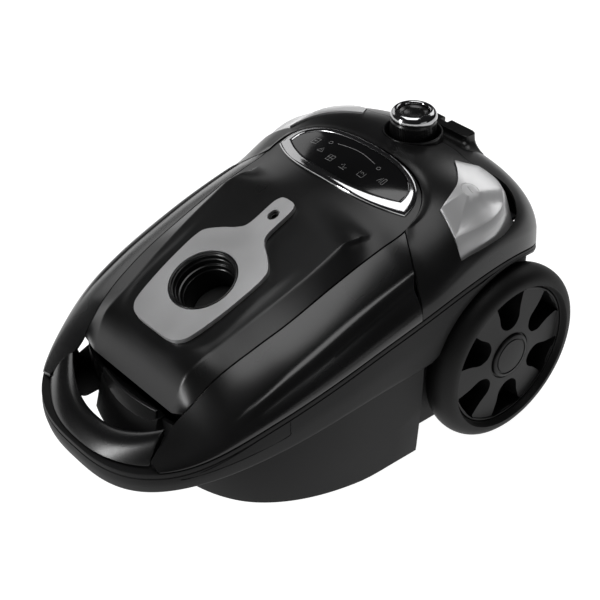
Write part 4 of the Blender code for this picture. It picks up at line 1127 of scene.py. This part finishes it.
def make_bracket():
    """The bridge behind the knob with the parking notch, on a foot that sweeps out to the casing."""
    def section(grow, rear_grow, corner):
        front = 0.0365 - grow
        rear = BRACKET_REAR_Y + rear_grow
        half = 0.032 + grow
        return rounded(rectangle(half, front, rear), corner, 7)

    loops = []
    for share, grow, rear_grow in ((0.0, 0.0075, 0.0040), (0.10, 0.0048, 0.0024), (0.22, 0.0028, 0.0012),
                                   (0.36, 0.0014, 0.0004), (0.55, 0.0004, 0.0), (0.80, 0.0, 0.0),
                                   (0.93, 0.0, 0.0), (1.0, -0.0008, -0.0008)):
        loop = []
        for x, y in section(grow, rear_grow, 0.0045):
            foot = crown_height(x, min(y, 0.0555)) + (0.0006 if share == 0.0 else 0.0)
            loop.append(Vector((x * (1 - 0.03 * share), y, foot + (BRACKET_TOP - foot) * share)))
        loops.append(loop)
    bracket = loft("bracket_bridge", loops)
    carve(bracket, block("notch", (0.0078, 0.016, 0.020), (0, BRACKET_REAR_Y + 0.0020, BRACKET_TOP + 0.0005)),
          block("recess", (0.050, 0.012, 0.010), (0, BRACKET_REAR_Y + 0.0040, 0.2015)))
    dress(bracket, "satin_black", "chassis", ["parking_bracket"], bevel=0.0007, angle=40.0, segments=3)


# ---- wheels --------------------------------------------------------------
def make_wheel(word, side):
    centre = Vector((-WHEEL_SHIFT * side, WHEEL_Y, WHEEL_RADIUS))
    axis = (side, 0, 0)
    middle = (WHEEL_IN + WHEEL_OUT) / 2
    body = word + "_wheel"
    tread = []
    for i in range(25):
        angle = pi * i / 24
        tread.append((0.0628 + 0.0122 * sin(angle) ** 0.85, middle + 0.0150 * cos(angle)))
    tyre = tread + [(0.0608, WHEEL_IN + 0.0012), (RIM_RADIUS + 0.0004, WHEEL_IN + 0.003),
                    (RIM_RADIUS + 0.0004, WHEEL_OUT - 0.0050), (0.0612, WHEEL_OUT - 0.0042),
                    (0.0618, WHEEL_OUT - 0.0016)]
    dress(turned(word + "_tyre_tread", tyre, centre, axis, 160), "tyre_rubber", body, [word + "_tyre"],
          angle=42.0)
    disc = [(0.0046, WHEEL_IN + 0.0066), (0.0560, WHEEL_IN + 0.0066), (0.0597, WHEEL_IN + 0.0080),
            (0.0597, 0.1322), (0.0590, 0.1330), (0.0578, 0.1330), (0.0572, 0.1318), (0.0565, 0.1316),
            (0.0400, 0.1324), (0.0240, 0.1334), (0.0205, 0.1334), (0.0198, 0.1322), (0.0046, 0.1322)]
    hub = turned(word + "_hub_disc", disc, centre, axis, 144)
    cutters = []
    for number in range(6):
        middle_angle = 2 * pi * number / 6 - 0.07
        outline = [(0.0275, -0.0052), (0.0262, 0.0), (0.0275, 0.0052), (0.0330, 0.0100), (0.0430, 0.0118),
                   (0.0530, 0.0150), (0.0562, 0.0158), (0.0568, 0.0), (0.0562, -0.0158), (0.0530, -0.0150),
                   (0.0430, -0.0118), (0.0330, -0.0100)]
        loops = []
        for depth, squeeze in ((0.1165, 0.0022), (0.1290, 0.0006), (0.1345, -0.0004)):
            loop = []
            for out, sideways in flowing(outline, 4):
                out -= squeeze if out < 0.040 else -squeeze * 0.1
                out += 2 * squeeze if out < 0.040 else 0.0
                sideways *= 1 - squeeze * 26
                y = out * sin(middle_angle) + sideways * cos(middle_angle)
                z = out * cos(middle_angle) - sideways * sin(middle_angle)
                loop.append(Vector((side * (depth - WHEEL_SHIFT), WHEEL_Y + y, WHEEL_RADIUS + z)))
            loops.append(loop)
        cutters.append(loft("pocket", loops))
    carve(hub, *cutters)
    dress(hub, "hub_black", body, [word + "_hub"], bevel=0.0007, angle=35.0, segments=2)
    cap = [(0.0, 0.1320), (0.0190, 0.1320), (0.0190, 0.1342), (0.0184, 0.1350), (0.0162, 0.1354),
           (0.0158, 0.1346), (0.0150, 0.1346), (0.0146, 0.1354), (0.0080, 0.1357), (0.0, 0.1358)]
    dress(turned(word + "_cap_disc", cap, centre, axis, 96), "hub_black", body, [word + "_hub_cap"],
          angle=45.0)


def make_castor():
    place = Vector((0, -0.219, 0.0125))
    roller = rounded([(0.0024, -0.0085), (0.0098, -0.0085), (0.0125, -0.0068), (0.0125, 0.0068),
                      (0.0098, 0.0085), (0.0024, 0.0085)], 0.0016, 5)
    dress(turned("castor_tyre", roller, place, (1, 0, 0), 72), "soft_rubber", "castor_roller",
          ["castor_wheel"], angle=45.0)


# ---- rear and inside ---------------------------------------------------------
def make_rear():
    slots = []
    for row in range(5):
        z = -0.0170 + row * 0.0085
        slots.append(rounded(rectangle(0.044, z - 0.0018, z + 0.0018), 0.0016, 5))
    seat = Matrix.Translation(Vector((0, REAR_Y - 0.0050, 0.085))) @ Matrix.Rotation(pi / 2, 4, "X")
    edge = rounded(rectangle(0.0515, -0.0245, 0.0245), 0.0030, 6)
    grille = outline_mesh("grille_door", [edge] + slots, 0.0030, seat)
    dress(grille, "satin_black", "exhaust_door", ["exhaust_grille"], bevel=0.0005, angle=50.0)
    pleats = []
    count = 26
    for i in range(count + 1):
        x = -0.0500 + 0.100 * i / count
        depth = 0.0027 if i % 2 else 0.0006
        pleats.append((x, depth))
    loops = []
    for z in spread(0.0625, 0.1075, 8):
        front = [Vector((x, REAR_Y - 0.0210 + depth, z)) for x, depth in pleats]
        back = [Vector((x, REAR_Y - 0.0240, z)) for x, depth in reversed(pleats)]
        loops.append(front + back)
    pleated = dress(loft("pleated_filter", loops), "fleece", "chassis", ["exhaust_filter"], angle=25.0)


def soft_block(name, low, high, puff, cuts):
    """A pad: a subdivided block whose faces crown and whose edges pull in."""
    bm = bmesh.new()
    bmesh.ops.create_cube(bm, size=2.0)
    bmesh.ops.subdivide_edges(bm, edges=bm.edges[:], cuts=cuts, use_grid_fill=True)
    centre = (Vector(low) + Vector(high)) / 2
    half = (Vector(high) - Vector(low)) / 2
    for vert in bm.verts:
        x, y, z = vert.co
        crown = (1 - x**4) * (1 - z**4)
        round_x = x * (1 - 0.03 * (z * z) ** 3)
        round_z = z * (1 - 0.05 * (x * x) ** 3)
        vert.co = centre + Vector((round_x * half.x, y * (half.y - puff * (1 - crown)), round_z * half.z))
    return mesh_object(bm, name)


def square_turn(turn):
    """The cosine and sine of a turn, pushed out towards the corners of a square."""
    c = abs(cos(turn)) ** BAG_SQUARE * (1 if cos(turn) >= 0 else -1)
    s = abs(sin(turn)) ** BAG_SQUARE * (1 if sin(turn) >= 0 else -1)
    return c, s


def bag_shape():
    """The dust bag at rest: a filled fleece bag, fuller in the middle, with its ends tucked under."""
    loops = []
    for t in spread(0.0, 1.0, 21):
        angle = pi * t
        z = 0.079 - 0.033 * cos(angle)
        swell = sin(angle) ** 0.55 if 0 < t < 1 else 0.0
        half = 0.052 + 0.029 * swell
        front = -0.212 - 0.029 * swell
        rear = -0.123 + 0.026 * swell
        loop = []
        for i in range(72):
            turn = 2 * pi * i / 72
            c, s = square_turn(turn)
            fold = 1 - 0.012 * swell * max(cos(9 * turn + 1.7 * sin(3 * t)), 0.0) ** 2
            loop.append(Vector((half * c * fold, (front + rear) / 2 + (rear - front) / 2 * s * fold, z)))
        loops.append(loop)
    return loft("fleece_bag", loops)


def swell_bag(bag):
    """A short cloth simulation under light air pressure, capped so that the bag stays in its room."""
    rest = [vert.co.copy() for vert in bag.data.vertices]
    cloth = bag.modifiers.new("cloth", "CLOTH")
    cloth.settings.use_pressure = True
    cloth.settings.uniform_pressure_force = 3.0
    cloth.settings.effector_weights.gravity = 0.0
    cloth.settings.quality = 4
    cloth.point_cache.frame_start = 1
    cloth.point_cache.frame_end = 16
    for number in range(1, 17):
        bpy.context.scene.frame_set(number)
    bake(bag)
    bpy.context.scene.frame_set(1)
    for vert, start in zip(bag.data.vertices, rest):
        move = vert.co - start
        if move.length > BAG_MOST_SWELL:
            vert.co = start + move.normalized() * BAG_MOST_SWELL
        vert.co.z = max(min(vert.co.z, BAG_TOP), BAG_BOTTOM)


def make_inside():
    bag = bag_shape()
    remesh = bag.modifiers.new("remesh", "REMESH")
    remesh.mode = "VOXEL"
    remesh.voxel_size = 0.0045
    bake(bag)
    swell_bag(bag)
    smooth = bag.modifiers.new("smooth", "SUBSURF")
    smooth.levels = 1
    smooth.render_levels = 1
    bake(bag)
    dress(bag, "fleece", "chassis", ["dust_bag"], angle=80.0)
    seam = []
    for i in range(72):
        c, s = square_turn(2 * pi * i / 72)
        seam.append(Vector((0.0822 * c, -0.1690 + 0.0730 * s, 0.0790)))
    welt = dress(tube("bag_seam", seam, 0.0011, 8, closed=True), "fleece", "chassis", angle=60.0)
    edge = rounded(rectangle(0.050, -0.045, 0.045), 0.008, 6)
    card = outline_mesh("bag_collar_card", [edge, circle(0.021, 64)], 0.0030,
                        Matrix.Translation((0, -0.190, 0.1190)))
    dress(card, "card", "chassis", ["bag_holder"], bevel=0.0004, angle=50.0)
    pad = soft_block("foam_pad", (-0.045, -0.0885, 0.040), (0.045, -0.0825, 0.100), 0.0012, 14)
    dress(pad, "foam", "chassis", ["motor_filter"], angle=60.0)


def finish_cad_nodes():
    """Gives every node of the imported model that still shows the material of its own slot."""
    slots = {entry["node"]: entry["material_slot"] for entry in frame["record"]["subparts"]}
    for name, obj in frame["nodes"].items():
        if obj.hide_render:
            continue
        look = slots.get(name, "grey_plastic")
        obj.data.materials.clear()
        obj.data.materials.append(LOOKS.get(look, LOOKS["grey_plastic"]))


# ---- studio ----------------------------------------------------------------
def aim(obj, place, at):
    obj.location = place
    obj.rotation_euler = (Vector(at) - Vector(place)).to_track_quat("-Z", "Y").to_euler()


def softbox(name, place, at, width, height, power):
    light = bpy.data.lights.new(name, "AREA")
    light.shape = "RECTANGLE"
    light.size = width
    light.size_y = height
    light.energy = power
    obj = bpy.data.objects.new(name, light)
    bpy.context.scene.collection.objects.link(obj)
    aim(obj, place, at)


def make_studio():
    scene = bpy.context.scene
    world = bpy.data.worlds.new("studio_world")
    scene.world = world
    world.use_nodes = True
    world.node_tree.nodes["Background"].inputs["Color"].default_value = (0.022, 0.022, 0.023, 1.0)
    world.node_tree.nodes["Background"].inputs["Strength"].default_value = 1.0
    bm = bmesh.new()
    bmesh.ops.create_grid(bm, x_segments=8, y_segments=8, size=7.0)
    floor = mesh_object(bm, "studio_floor")
    floor.location = (0, 0, -0.0006)
    paper = finish_of("floor_paper", grey(0.30), grey(0.33), (0.85, 0.95), 300.0, 0.00005, cloud=2.0)
    shader = paper.node_tree.nodes["Principled BSDF"]
    shader.inputs["Emission Color"].default_value = (1.0, 1.0, 1.0, 1.0)
    shader.inputs["Emission Strength"].default_value = 1.0
    floor.data.materials.append(paper)
    for name, place, width, height, power in LIGHTS:
        softbox(name, place, LIGHT_TARGET, width, height, power)
    scene.view_settings.view_transform = "Standard"


def make_camera():
    camera = bpy.data.cameras.new("studio_camera")
    camera.lens = CAMERA_LENS
    camera.sensor_width = 36.0
    camera.dof.use_dof = False
    obj = bpy.data.objects.new("studio_camera", camera)
    bpy.context.scene.collection.objects.link(obj)
    aim(obj, CAMERA_PLACE, CAMERA_TARGET)
    bpy.context.scene.camera = obj


def make_all():
    make_camera()
    make_tub()
    make_belt()
    make_handle_cover()
    make_wing("wing_skin_left", -1, "side_wing_left")
    make_wing("wing_skin_right", 1, "side_wing_right")
    make_rear_casing()
    make_pedal("power_pedal_cap", 1, "power_button", "power_pedal")
    make_pedal("rewind_pedal_cap", -1, "rewind_button", "rewind_pedal")
    make_lid()
    make_inlet()
    make_display()
    make_latch()
    make_knob()
    make_bracket()
    make_wheel("left", -1)
    make_wheel("right", 1)
    make_castor()
    make_rear()
    make_inside()
    finish_cad_nodes()
    make_studio()


make_all()
